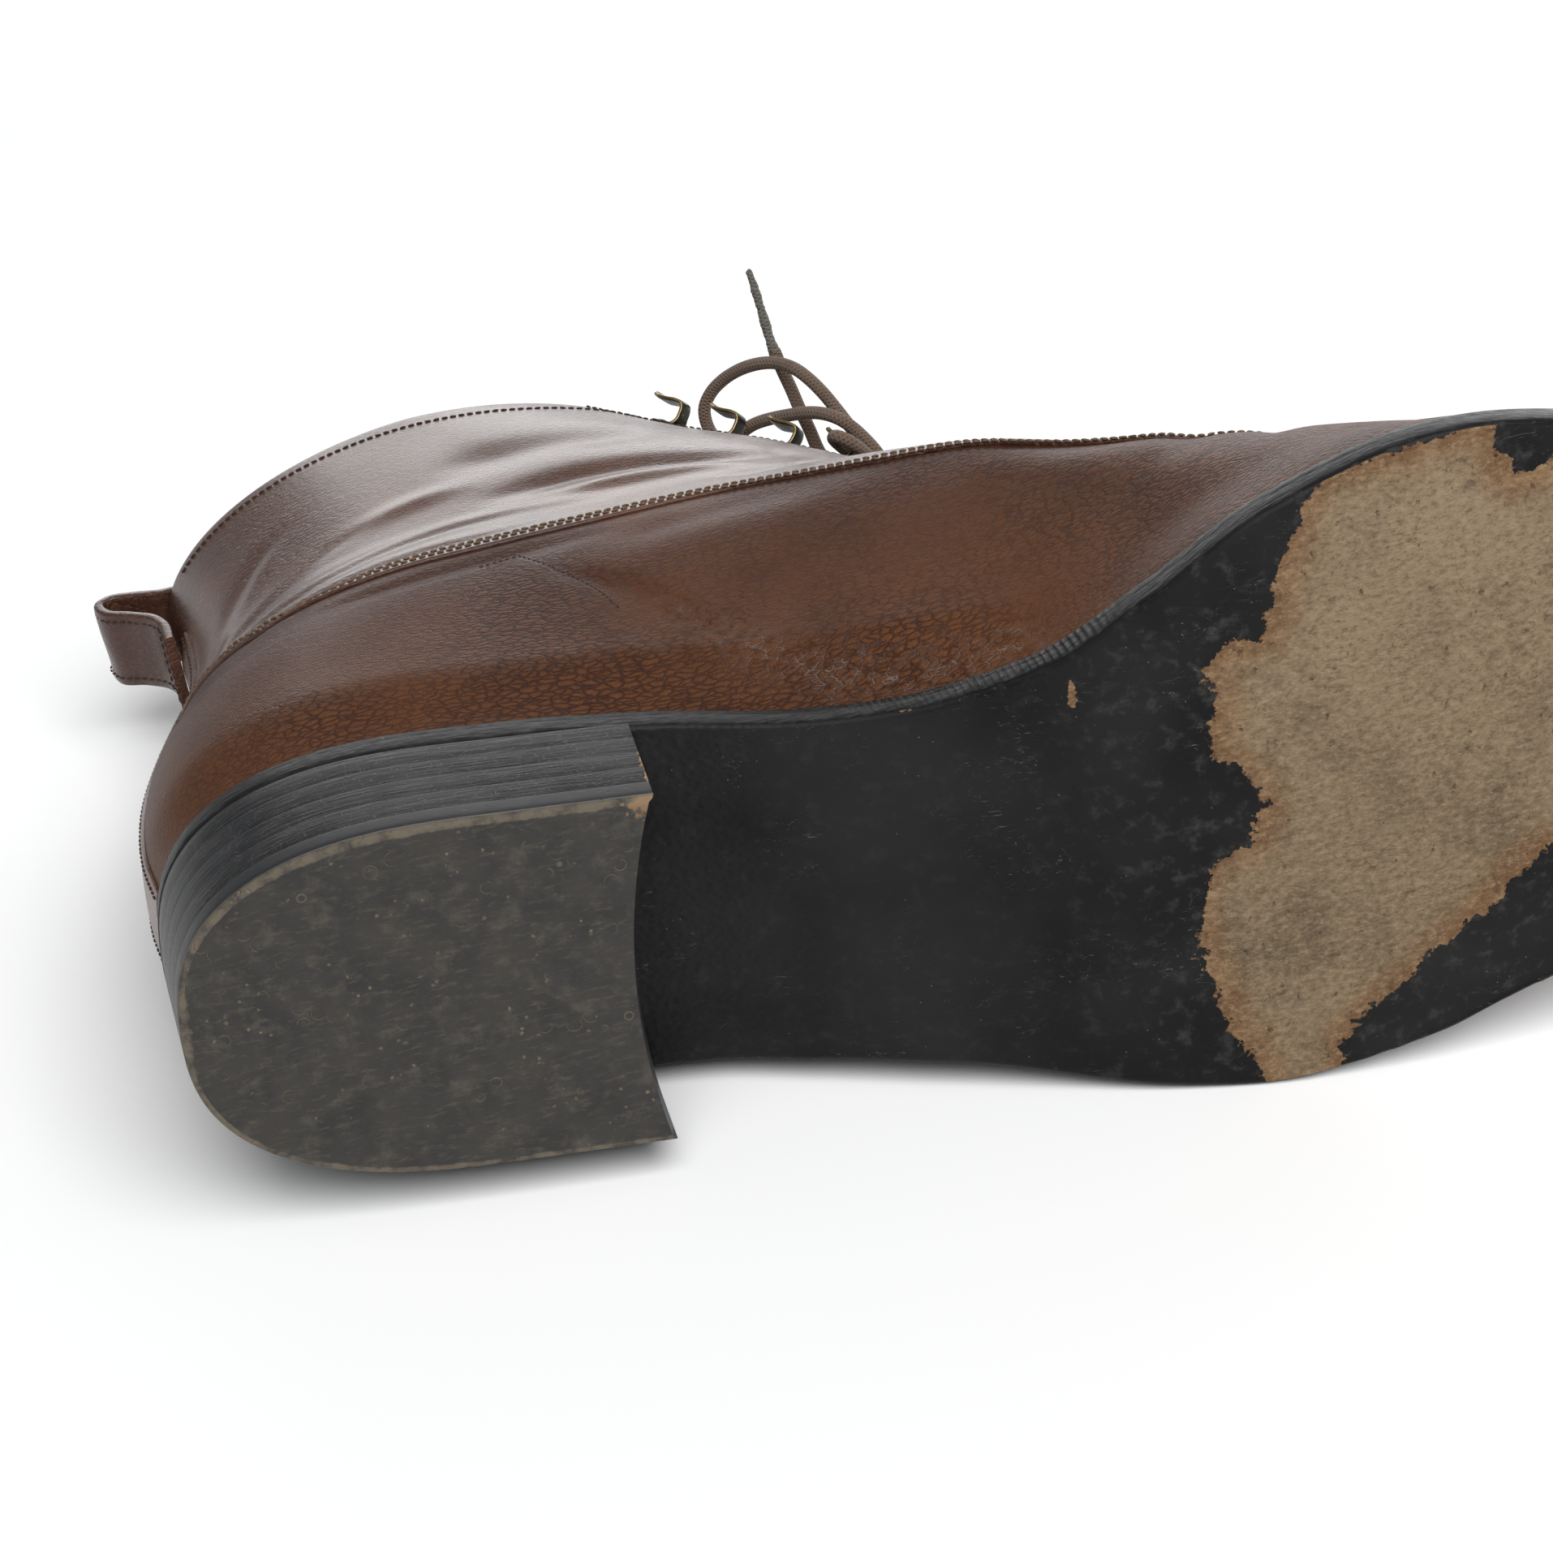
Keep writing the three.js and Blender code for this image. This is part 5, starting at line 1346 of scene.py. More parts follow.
class BOOT_OT_lace(PieceMaker, bpy.types.Operator):
    """Lay the lace: its knot, its loop, its loose ends and its crossings"""

    bl_idname = "boot.lace"
    bl_label = "Lace"

    def cord(self, solid_name, name, route, shape, sizes, colours, far_end, with_pieces):
        path = evenly([shape.throat_point(row) for row in route], 0.6 * MM)
        radius = sizes.lace_diameter / 2
        weave = finish_of("lace_weave", colours)
        piece = make_tube(name, path, radius, shape, weave)
        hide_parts(solid_name)
        laid = shape.lay(path)

    def execute(self, context):
        shape, sizes, colours = self.setting(context)
        knot = self.knot(shape, sizes, colours)
        tip = self.tip(shape, sizes, colours)
        self.cord("lace_loop", "lace_bow", LOOP_ROUTE, shape, sizes, colours, "object", [knot])
        self.cord("lace_tail", "lace_free_end", TAIL_ROUTE, shape, sizes, colours, "bare", [tip])
        self.cord("lace_hidden_end", "lace_tucked_end", HIDDEN_ROUTE, shape, sizes, colours, "bare", [])
        self.crossings(shape, sizes, colours)
        return {"FINISHED"}

    def knot(self, shape, sizes, colours):
        """A tight overhand turn of the lace, pulled into a ball."""
        t = np.linspace(0, 2 * np.pi, 140, endpoint=False)
        ball = np.column_stack([
            np.sin(t) + 2 * np.sin(2 * t), np.cos(t) - 2 * np.cos(2 * t), -1.5 * np.sin(3 * t)
        ]) * 0.72 * MM
        middle = shape.throat_point(KNOT_PLACE)
        down = np.array([shape.throat_down[0], 0, shape.throat_down[1]])
        out = np.array([shape.throat_out[0], 0, shape.throat_out[1]])
        path = middle + ball @ np.array([down, [0, 1, 0], out])
        path = np.vstack([path, path[:3]])
        weave = finish_of("lace_weave", colours)
        piece = make_tube("lace_tight_knot", path, 0.48 * sizes.lace_diameter, shape, weave)
        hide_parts("lace_knot")
        return piece

    def tip(self, shape, sizes, colours):
        """The tail's end has lost its metal and frayed to a thin grey strand."""
        path = evenly([shape.throat_point(row) for row in TAIL_ROUTE[-2:] + TIP_ROUTE], 0.35 * MM)
        weave = finish_of("lace_tip_weave", colours)
        piece = make_tube(
            "lace_frayed_tip", path, sizes.tip_diameter / 2, shape, weave, sides=14,
            taper=lambda share: 1.25 - 0.45 * share + 0.10 * np.sin(share * 19), rough=0.00006,
        )
        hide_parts("lace_tip")
        return piece

    def crossings(self, shape, sizes, colours):
        """The lace comes up at the throat's foot, round the lowest hooks and over the tongue."""
        length = sizes.throat_length / MM
        middle = shape.throat_middle / MM
        pieces = []
        for side, word in ((-1, "inner"), (1, "outer")):
            axes, seat = shape.hook_frame(sizes.hook_rows - 1, side)
            seat = seat + axes[:, 1] * 0.4 * MM

            def by_hook(up, out, away):
                return seat + axes @ (np.array([up, out, away * side]) * MM)

            points = [
                shape.throat_point((length - 3.4, middle - side * 2.6, -1)),
                shape.throat_point((length - 3.6, middle + side * 3.4, 1.5)),
                shape.throat_point((length - 3.9, middle + side * 9.5, 1.4)),
                by_hook(-5.8, 2.9, 0.5),
                by_hook(-5.2, 2.9, 4.0),
                by_hook(-2.8, 2.9, 6.1),
                by_hook(-0.6, 2.9, 4.6),
                by_hook(-0.6, 2.9, 0),
                by_hook(-0.6, 3.4, -4),
                shape.throat_point((53.2, middle + side * 7.6, 0.9)),
                shape.throat_point((54.2, middle + side * 2, -0.9)),
                shape.throat_point((54.4, middle - side * 1, -1.1)),
            ]
            piece = make_tube(
                f"lace_crossing_{word}", evenly(points, 0.6 * MM), sizes.lace_diameter / 2, shape,
                finish_of("lace_weave", colours),
            )
            pieces.append(piece)
        for piece in pieces:
            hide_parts("lace_crossings")


class BOOT_OT_upper(PieceMaker, bpy.types.Operator):
    """Make the galosh, counter, shaft, lining and back strip"""

    bl_idname = "boot.upper"
    bl_label = "Upper"
    TUCK = 1.03

    def execute(self, context):
        shape, sizes, colours = self.setting(context)
        galosh_leather = finish_of("galosh_leather", colours)
        shaft_leather = finish_of("shaft_leather", colours)
        levels = np.concatenate([np.linspace(0, 1, 66), [1.015, self.TUCK]])
        pieces = [make_shell(
            "galosh", shape, levels, 0.0, -sizes.wall / 2, 421, galosh_leather,
            drop=0.9 * sizes.layer_gap,
        )]
        throat_foot = float(shape.level_down(sizes.throat_length)) + 0.0008 * np.arange(7) ** 2
        levels = np.unique(np.concatenate([
            1 + np.array([0.0004, 0.0015, 0.0035, 0.007]), np.linspace(1.012, 1.994, 96),
            throat_foot, [1.998, 2],
        ]))
        rim = np.interp(levels, [1, 1.002, 1.008, 1.997, 2], [0.35, 0.72, 0.95, 0.95, 0.7])
        outer = rim * sizes.lap
        inner = np.where(levels < self.TUCK + 0.01, 0.05 * MM, -sizes.wall / 2)
        pieces.append(make_shell(
            "shaft", shape, levels, outer, inner, 361, shaft_leather
        ))
        levels = np.unique(np.concatenate([np.linspace(0, 1.99, 70), throat_foot, [2]]))
        under = -sizes.wall / 2 - 0.03 * MM
        pieces.append(make_shell(
            "lining", shape, levels, under, -sizes.wall, 241, finish_of("lining_leather", colours),
        ))
        pieces.append(self.counter(shape, sizes, galosh_leather))
        pieces.append(self.back_strip(shape, sizes, shaft_leather))
        for piece in pieces:
            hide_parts("upper")
        return {"FINISHED"}

    def counter(self, shape, sizes, leather):
        """Stiff heel cover with its own edge, lapped over the galosh."""
        halves = []
        for side in (1, -1):
            levels, edges, tops = counter_edges(shape, side)
            across = np.linspace(0, 1, 111)
            up = np.concatenate([np.linspace(0, 0.985, 56), [0.995, 1]])
            level = up[:, None] * np.interp(across, *tops)
            round_ = across * np.interp(level, levels, edges)
            round_ = on_side(round_, side)
            from_edge = np.minimum(1 - up[:, None], (1 - across) * 0.8)
            halves.append((level, round_, lerp(0.25, 0.95, smoothstep(from_edge, 0, 0.035)) * sizes.lap))
        level, round_, lift = (
            np.concatenate([one[:, ::-1], two[:, 1:]], axis=1) for one, two in zip(*halves)
        )
        outer = shape.surface(level, round_, lift)
        inner = shape.surface(level, round_, np.full(level.shape, 0.05 * MM))
        for face in (outer, inner):
            face[0, :, 2] -= 0.9 * sizes.layer_gap
        corners, faces = two_faced(outer, inner, np.ones(len(level), bool))
        fields = {"crease": near_crease(corners, shape)}
        return make_piece("heel_counter", corners, faces, shape, leather, fields=fields)

    def back_strip(self, shape, sizes, leather):
        """Narrow strip over the back seam, from the sole to the pull loop."""
        across = np.concatenate([[-1, -0.97], np.linspace(-0.9, 0.9, 15), [0.97, 1]]) * sizes.loop_width / 2
        levels = np.linspace(0, strip_top(shape), 90)
        level, round_ = strip_places(shape, levels, across)
        thick = np.where(np.abs(across) > 0.98 * sizes.loop_width / 2, 0.75, 1.0) * 0.55 * MM
        outer = shape.surface(level, round_, sizes.lap + thick)
        inner = shape.surface(level, round_, np.full(level.shape, sizes.lap - 0.02 * MM))
        corners, faces = two_faced(outer, inner, np.ones(len(levels), bool))
        return make_piece("back_strip", corners, faces, shape, leather)


def counter_edges(shape, side):
    """Levels with the counter's front edge in rounds, and its top level from the back to the front."""
    levels = np.linspace(0, 1, 160)
    rounds = np.linspace(0.001, 0.62, 260)
    points = shape.point(levels[:, None], on_side(rounds, side))
    past = points[..., 0] - shape.counter_front(points[..., 2])
    edges = np.array([np.interp(0, row, rounds) for row in past])
    across = np.linspace(0, 1, 80)
    round_ = across * edges[:, None]
    points = shape.point(levels[:, None], on_side(round_, side))
    over = points[..., 2] - shape.counter_top(points[..., 0])
    tops = np.array([np.interp(0, column, levels) for column in over.T])
    return levels, edges, (across, tops)


def strip_top(shape):
    """Level of the back at which the pull loop begins."""
    points = shape.point(np.linspace(1, 2, 400), 0.0)
    return float(np.interp(shape.collar_back[1] - 0.019, points[:, 2], np.linspace(1, 2, 400)))


def strip_places(shape, levels, across):
    """Levels and rounds of places at given distances across the back."""
    rounds = np.linspace(0, 0.4, 160)
    sides = []
    for side in (1, -1):
        signed = on_side(rounds, side)
        sides.append([walked(shape.point(level, signed)) for level in levels])
    rows = []
    for lateral, medial in zip(*sides):
        outer = np.interp(np.abs(across), lateral, rounds)
        inner = 2 - np.interp(np.abs(across), medial, rounds)
        rows.append(np.where(across > 1e-9, outer, np.where(across < -1e-9, inner, 0)))
    round_ = np.array(rows)
    return np.broadcast_to(np.asarray(levels)[:, None], round_.shape), round_


def on_side(rounds, side):
    """Rounds counted from the back, toward the outer side for side 1 and the inner side for -1."""
    return rounds if side > 0 else np.where(rounds > 0, 2 - rounds, 0)


def above_seam(shape, rounds, distance):
    """Levels at which each round lies a distance over the shaft's lower edge."""
    levels = 1 + 0.4 * np.linspace(0, 1, 90) ** 1.5
    seam = shape.point(1.0, np.linspace(0, 2, 241))
    apart, _ = distance_to(shape.point(levels[:, None], rounds), seam)
    return np.array([np.interp(distance, column, levels) for column in apart.T])


class BOOT_OT_stitches(PieceMaker, bpy.types.Operator):
    """Sew the seams of the upper and the welt"""

    bl_idname = "boot.stitches"
    bl_label = "Stitches"
    SEAM_ROWS = (1.5 * MM, 3.4 * MM)
    COLLAR_ROW = 1.955

    def execute(self, context):
        shape, sizes, colours = self.setting(context)
        pitch, thread = sizes.stitch_pitch, sizes.thread
        brown = finish_of("seam_thread", colours)
        dark = finish_of("dark_thread", colours)
        over = sizes.lap + 0.1 * MM
        rounds = np.linspace(0.035, 1.965, 900)
        rows = [shape.surface(above_seam(shape, rounds, away), rounds, over) for away in self.SEAM_ROWS]
        make_stitches("galosh_seam", rows, shape, pitch, 0.82 * pitch, thread, brown, "chestnut_leather")
        rows = [self.counter_row(shape, side, 0.018, sizes.lap + 0.03 * MM) for side in (1, -1)]
        make_stitches(
            "counter_seam", rows, shape, 0.7 * pitch, 0.5 * pitch, 0.6 * thread, dark, "chestnut_leather"
        )
        rows = [self.facing_row(shape, side, inset, over) for side in (1, -1) for inset in (0.0018, 0.016)]
        outer, inner = (self.throat_round(shape, self.COLLAR_ROW, side) for side in (1, -1))
        for part in (np.linspace(1 - outer - 0.01, 0.14, 250), np.linspace(1.86, 1 + inner + 0.01, 250)):
            rows.append(shape.surface(np.full(len(part), self.COLLAR_ROW), part, over))
        fine = (pitch, 0.8 * pitch, 0.8 * thread, dark, "chestnut_leather")
        make_stitches("facing_seam", rows, shape, *fine)
        across = np.array([-1, 1]) * (sizes.loop_width / 2 - 1.6 * MM)
        level, round_ = strip_places(shape, np.linspace(0.03, strip_top(shape), 200), across)
        strip = shape.surface(level, round_, np.full(level.shape, over + 0.55 * MM))
        rows = [strip[:, 0], strip[:, 1]]
        make_stitches("strip_seam", rows, shape, *fine)
        self.welt_row(shape, sizes, colours)
        return {"FINISHED"}

    def counter_row(self, shape, side, inset, over):
        """A row a little inside the counter's edge, from the back to the sole."""
        levels, edges, tops = counter_edges(shape, side)
        across = np.linspace(0.92, 1 - inset * 0.8, 200)
        top = np.interp(across, *tops) * (1 - inset)
        down = np.linspace(1 - inset, 0.5, 160) * tops[1][-1]
        level = np.concatenate([top, down[1:]])
        share = np.concatenate([across, np.full(159, across[-1])])
        round_ = share * np.interp(level, levels, edges)
        return shape.surface(level, on_side(round_, side), over)

    def throat_round(self, shape, level, side):
        return float(shape.throat_edge(np.array([level]), side)[0])

    def facing_row(self, shape, side, inset, over):
        """A row beside the throat, down to its foot."""
        foot = float(shape.level_down(shape.sizes.throat_length - 0.001))
        levels = np.linspace(1.99, foot, 220)
        edge = shape.throat_edge(levels, side)
        steps = np.linspace(0, 0.6, 240)
        rows = []
        for level, start in zip(levels, edge):
            rounds = 1 - side * (start + steps)
            rows.append(np.interp(inset, walked(shape.point(level, rounds)), rounds))
        return shape.surface(levels, np.array(rows), over)

    def welt_row(self, shape, sizes, colours):
        """Lock stitches on the welt's upper face."""
        share = np.linspace(0.10, 0.999, 500)
        rows = []
        for side in (1, -1):
            plan = shape.plan(share, side, sizes.welt_step + 1.35 * MM)
            top = shape.feather(plan[:, 0]) - sizes.layer_gap + 0.12 * MM
            rows.append(np.column_stack([plan, top]))
        make_stitches(
            "welt_seam", rows, shape, 2.3 * MM, 2.0 * MM, 0.75 * MM, finish_of("welt_thread", colours),
            "black_sole_leather",
        )


class BOOT_OT_sole(PieceMaker, bpy.types.Operator):
    """Make the outer sole and the welt, with the wear under the ball"""

    bl_idname = "boot.sole"
    bl_label = "Sole and welt"

    def execute(self, context):
        shape, sizes, colours = self.setting(context)
        self.outsole(shape, sizes, colours)
        self.welt(shape, sizes, colours)
        insole = frame["nodes"]["insole"]
        insole.data.materials.clear()
        insole.data.materials.append(finish_of("insole_leather", colours))
        return {"FINISHED"}

    def outsole(self, shape, sizes, colours):
        """One closed section per station: bottom, outer edge, top, inner edge."""
        thick = sizes.outsole_thickness
        edge = [
            (1.3, 0.0), (0.75, 0.09), (0.35, 0.32), (0.1, 0.75), (0.0, 1.3), (0.0, thick / MM - 0.5),
            (0.04, thick / MM - 0.10), (0.25, thick / MM),
        ]
        across = np.sin(np.linspace(-1, 1, 65) * np.pi / 2)
        profile = [(value, edge[0][0], 0.0) for value in across]
        profile += [(1.0, inset, height) for inset, height in edge[1:]]
        profile += [(value, edge[-1][0], edge[-1][1]) for value in across[::-4][1:]]
        profile += [(-1.0, inset, height) for inset, height in edge[-2:0:-1]]
        profile = np.array(profile)
        stations = (1 - np.cos(np.linspace(0, np.pi, 261))) / 2
        share = stations[:, None]
        plan = shape.plan(share, profile[:, 0], profile[:, 1] * MM)
        x = plan[..., 0]
        height = profile[:, 2] * MM
        crown = 0.35 * MM * smoothstep(np.abs(profile[:, 0]), 0.75, 1.0) * (profile[:, 2] == 0)
        forepart = smoothstep(x, 0.16, 0.20)
        random = np.random.default_rng(11)
        chipped = random.normal(0, 0.05, x.shape) * MM * (profile[:, 2] > 0) * (profile[:, 2] < 1.2)
        z = shape.underside(x) + height + crown * forepart + chipped * forepart
        closed = closed_rows(np.dstack([plan, z]))
        rows, columns = closed.shape[:2]
        places = closed.reshape(-1, 3)
        outline = np.array(WORN_OUTLINE, float)
        around = np.vstack([outline, outline[:1]])
        apart, _ = distance_to(places[:, :2] / MM, around)
        worn = np.where(inside(places[:, :2] / MM, outline), apart, -apart)
        is_bottom = np.tile(np.append(profile[:, 2] < 0.5, True), rows)
        worn = np.where(is_bottom, worn, -8)
        near_edge = np.tile(np.append(np.abs(profile[:, 0]), 1), rows)
        rim = smoothstep(near_edge, 0.90, 1.0) * smoothstep(places[:, 0], 0.185, 0.21) * (places[:, 1] < 0)
        chips = self.chips(places)
        piece = make_piece(
            "outer_sole", places, grid_faces(rows, columns), shape, finish_of("outsole_leather", colours),
            fields={"worn": worn, "edge": rim, "chips": chips},
        )
        piece.data.materials.append(finish_of("waxed_edge", colours))
        centre = np.empty(len(piece.data.polygons) * 3, np.float32)
        piece.data.polygons.foreach_get("normal", centre)
        up = shape.lay_turn @ np.array([0, 0, 1.0])
        facing_down = centre.reshape(-1, 3) @ up < -0.35
        piece.data.polygons.foreach_set("material_index", np.where(facing_down, 0, 1).astype(np.int32))
        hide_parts("outsole")

    def chips(self, places):
        """Small bare nicks in the blacking, largest over 0, in mm."""
        best = np.full(len(places), -5.0)
        for start, end, width in NICKS:
            apart, _ = distance_to(places[:, :2] / MM, np.array([start, end], float))
            best = np.maximum(best, width - apart)
        return best

    def welt(self, shape, sizes, colours):
        """A strip with rounded edges round the whole sole."""
        stations = 260
        thick = sizes.welt_thickness / MM + sizes.layer_gap / MM
        section = [
            (9.0, 0.03), (4.5, 0.03), (0.35, 0.03), (0.05, 0.12), (0.0, 0.4), (0.0, thick - 0.55),
            (0.14, thick - 0.16), (0.5, thick), (2.0, thick), (4.5, thick), (9.0, thick),
        ]
        section = np.array(section) + [sizes.welt_step / MM, 0]
        half = (1 - np.cos(np.linspace(0, np.pi, stations))) / 2
        share = np.concatenate([half, half[-2:0:-1]])
        side = np.concatenate([np.ones(stations), -np.ones(stations - 2)])
        plan = shape.plan(share[:, None], side[:, None], section[:, 0] * MM)
        low = shape.underside(plan[..., 0]) + sizes.outsole_thickness
        corners = closed_rows(np.dstack([plan, low + section[:, 1] * MM]))
        corners = np.concatenate([corners, corners[:1]], axis=0)
        rows, columns = corners.shape[:2]
        piece = make_piece(
            "stitched_welt", corners, grid_faces(rows, columns), shape, finish_of("waxed_edge", colours),
        )
        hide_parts("welt")


class BOOT_OT_heel(PieceMaker, bpy.types.Operator):
    """Stack the heel's lifts over its rubber top piece"""

    bl_idname = "boot.heel"
    bl_label = "Heel"

    def execute(self, context):
        shape, sizes, colours = self.setting(context)
        rubber = finish_of("heel_rubber", colours)
        leather = finish_of("heel_leather", colours)
        thick = sizes.top_piece_thickness
        self.layer("heel_top_piece", shape, sizes, lambda x, share: share * (thick - 0.03 * MM), rubber,
                   "heel_rubber", 0.9)
        for i in range(sizes.lift_count):
            def height(x, share, i=i):
                level = (i + share) / sizes.lift_count
                return lerp(thick + 0.02 * MM, shape.underside(x) - 0.02 * MM, level)

            self.layer(f"heel_lift_{i + 1}", shape, sizes, height, leather, "black_heel_leather", 0.05)
        return {"FINISHED"}

    def layer(self, name, shape, sizes, height, material, slot, soft):
        """A closed layer whose rim is rounded at the bottom by soft mm and a little at the top."""
        top = 0.04
        is_rubber = soft > 0.5
        bend = 0.14 if is_rubber else 0.04
        edge = [
            (soft, 0.0), (0.3 * soft, 0.14 * bend), (0.0, bend), (0.0, 0.5), (0.0, 0.96),
            (0.35 * top, 0.99), (top, 1.0),
        ]
        across = np.sin(np.linspace(-1, 1, 33) * np.pi / 2)
        profile = [(value, edge[0][0], 0.0) for value in across]
        profile += [(1.0, inset, share) for inset, share in edge[1:]]
        profile += [(value, top, 1.0) for value in across[::-1][1:]]
        profile += [(-1.0, inset, share) for inset, share in edge[-2:0:-1]]
        profile = np.array(profile)
        u = (1 - np.cos(np.linspace(0, np.pi / 2, 60)))[:, None]
        level = np.clip(height(0.0, profile[:, 2]) / sizes.heel_height, 0, 1)
        plan = shape.heel_plan(level, u, profile[:, 0], profile[:, 1] * MM)
        heights = np.broadcast_to(height(plan[..., 0], profile[:, 2]), plan.shape[:2])
        corners = np.dstack([plan, heights])
        closed = closed_rows(corners)
        rows, columns = closed.shape[:2]
        faces = grid_faces(rows, columns).tolist()
        count = len(profile)
        last = (rows - 1) * columns
        across_count = len(across)
        bottom = last + np.arange(across_count)
        upper = bottom[::-1] + across_count + len(edge) - 2
        faces += strip_faces(bottom, upper).tolist()
        faces.append([last + across_count - 1 + i for i in range(len(edge))])
        faces.append([last + (count - i) % count for i in range(len(edge))])
        places = closed.reshape(-1, 3)
        flat = np.tile(np.append(profile[:, 0], profile[0, 0]), rows)
        u_all = np.repeat(u[:, 0], columns)
        rim = np.maximum(smoothstep(np.abs(flat), 0.970, 1.0), 1 - smoothstep(u_all, 0.0, 0.025))
        corner_line = corners[-1][profile[:, 0] == -1]
        apart, _ = distance_to(places, corner_line[np.argsort(corner_line[:, 2])])
        worn_away = 3.2 if is_rubber else 0.35
        chips = worn_away - apart / MM - 3 * smoothstep(places[:, 2], 0.014, 0.019)
        fields = {"rim": rim, "chips": chips}
        piece = make_piece(f"stacked_{name}", places, faces, shape, material, 35, fields)
        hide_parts(name)


class BOOT_OT_tongue(PieceMaker, bpy.types.Operator):
    """Make the tongue behind the facings"""

    bl_idname = "boot.tongue"
    bl_label = "Tongue"

    def execute(self, context):
        shape, sizes, colours = self.setting(context)
        share = np.concatenate([np.linspace(0, 0.985, 60), [0.995, 1]])
        down = lerp(sizes.throat_length + sizes.tongue_tuck, sizes.tongue_drop, share)
        levels = shape.level_down(down)
        across = np.concatenate([[-1, -0.98], np.linspace(-0.93, 0.93, 41), [0.98, 1]])
        half = sizes.tongue_width / 2 * lerp(0.6, 1, np.sqrt(share))
        rounds = np.array([
            [1.0 if value == 0 else shape.round_across(level, value * width) for value in across]
            for level, width in zip(levels, half)
        ])
        grid = np.broadcast_to(levels[:, None], rounds.shape)
        edge = (np.abs(across) > 0.99) | (share[:, None] > 0.999)
        points, normals = shape.point(grid, rounds), shape.normal(grid, rounds)
        ripple = 0.25 * MM * np.sin(share[:, None] * 21 + across * 1.3)
        ripple = ripple * smoothstep(share[:, None], 0.2, 0.5)
        thinned = np.where(edge, 0.35 * MM, 0)
        near = sizes.wall + sizes.tongue_gap + 0.3 * MM + ripple + thinned
        far = sizes.wall + sizes.tongue_gap + sizes.tongue_thickness + ripple - thinned
        outer = points - normals * near[..., None]
        inner = points - normals * far[..., None]
        corners, faces = two_faced(outer, inner, np.ones(len(share), bool))
        piece = make_piece(
            "boot_tongue", corners, faces, shape, finish_of("tongue_leather", colours)
        )
        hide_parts("tongue")
        return {"FINISHED"}


class BOOT_OT_pull_loop(PieceMaker, bpy.types.Operator):
    """Fold the pull loop over the collar"""

    bl_idname = "boot.pull_loop"
    bl_label = "Pull loop"

    def execute(self, context):
        shape, sizes, colours = self.setting(context)
        path = self.path(shape, sizes)
        line = evenly(path, 0.7 * MM)
        way = unit(np.gradient(line, axis=0))
        out = np.column_stack([-way[:, 1], way[:, 0]])
        across = np.concatenate([[-1, -0.985, -0.95], np.linspace(-0.86, 0.86, 13), [0.95, 0.985, 1]])
        lift = np.array([0.55, 0.82, 0.96] + [1.0] * 13 + [0.96, 0.82, 0.55])
        middle = float(shape.upper_middle(shape.collar_back[0], shape.collar_back[1]))
        share = np.linspace(0, 1, len(line))[:, None]
        sag = 0.28 * MM * np.sin(share * 31 + across * 2.0) * np.sin(share * 9 + 1 - across)
        sag = sag * smoothstep(share, 0.15, 0.3) * (1 - smoothstep(share, 0.7, 0.9))
        faces = []
        for side in (1, -1):
            offset = side * sizes.loop_thickness / 2 * lift + sag
            view = line[:, None, :] + out[:, None, :] * offset[..., None]
            y = np.broadcast_to(middle + across * sizes.loop_width / 2, offset.shape)
            faces.append(np.stack([view[..., 0], y, view[..., 1]], -1))
        corners, mesh_faces = two_faced(*faces, np.ones(len(line), bool))
        leather = finish_of("shaft_leather", colours)
        piece = make_piece("heel_pull_loop", corners, mesh_faces, shape, leather)
        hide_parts("pull_loop")
        self.seams(shape, sizes, colours, line, out, middle)
        return {"FINISHED"}

    def path(self, shape, sizes):
        off = sizes.lap + 0.3 * MM + sizes.loop_thickness / 2
        back, top = shape.collar_back
        out = back - off
        within = back + sizes.wall + 4.6 * MM + sizes.loop_thickness / 2
        reach, rise = sizes.loop_reach, sizes.loop_rise
        down_20, down_13 = (float(shape.back_edge(top - low)) - off - 0.3 * MM for low in (0.020, 0.013))
        return [
            (down_20, top - 0.020), (down_13, top - 0.013), (out - 0.001, top - 0.008),
            (out - 0.45 * reach, top - 0.005), (out - 0.85 * reach, top - 0.0025),
            (out - reach, top + 0.35 * rise), (out - 0.8 * reach, top + 0.6 * rise),
            (out - 0.4 * reach, top + 0.5 * rise), (out + 0.001, top + 0.35 * rise),
            (within - 0.001, top + 0.0015), (within + 0.0006, top - 0.004), (within + 0.0012, top - 0.015),
        ]

    def seams(self, shape, sizes, colours, line, out, middle):
        """A row of stitches along each side of the loop's outer face, and a box where it is sewn down."""
        lift = sizes.loop_thickness / 2 + 0.06 * MM
        rows = []
        for side in (1, -1):
            y = middle + side * (sizes.loop_width / 2 - 1.7 * MM)
            view = line + out * lift
            rows.append(np.column_stack([view[:, 0], np.full(len(line), y), view[:, 1]])[2:-3])
        for at in (2, 12):
            view = line[at] + out[at] * lift
            y = np.linspace(-1, 1, 30) * (sizes.loop_width / 2 - 1.7 * MM) + middle
            rows.append(np.column_stack([np.full(30, view[0]), y, np.full(30, view[1])]))
        make_stitches(
            "pull_loop_seam", rows, shape, sizes.stitch_pitch, 0.8 * sizes.stitch_pitch,
            0.8 * sizes.thread, finish_of("dark_thread", colours), "chestnut_leather",
        )


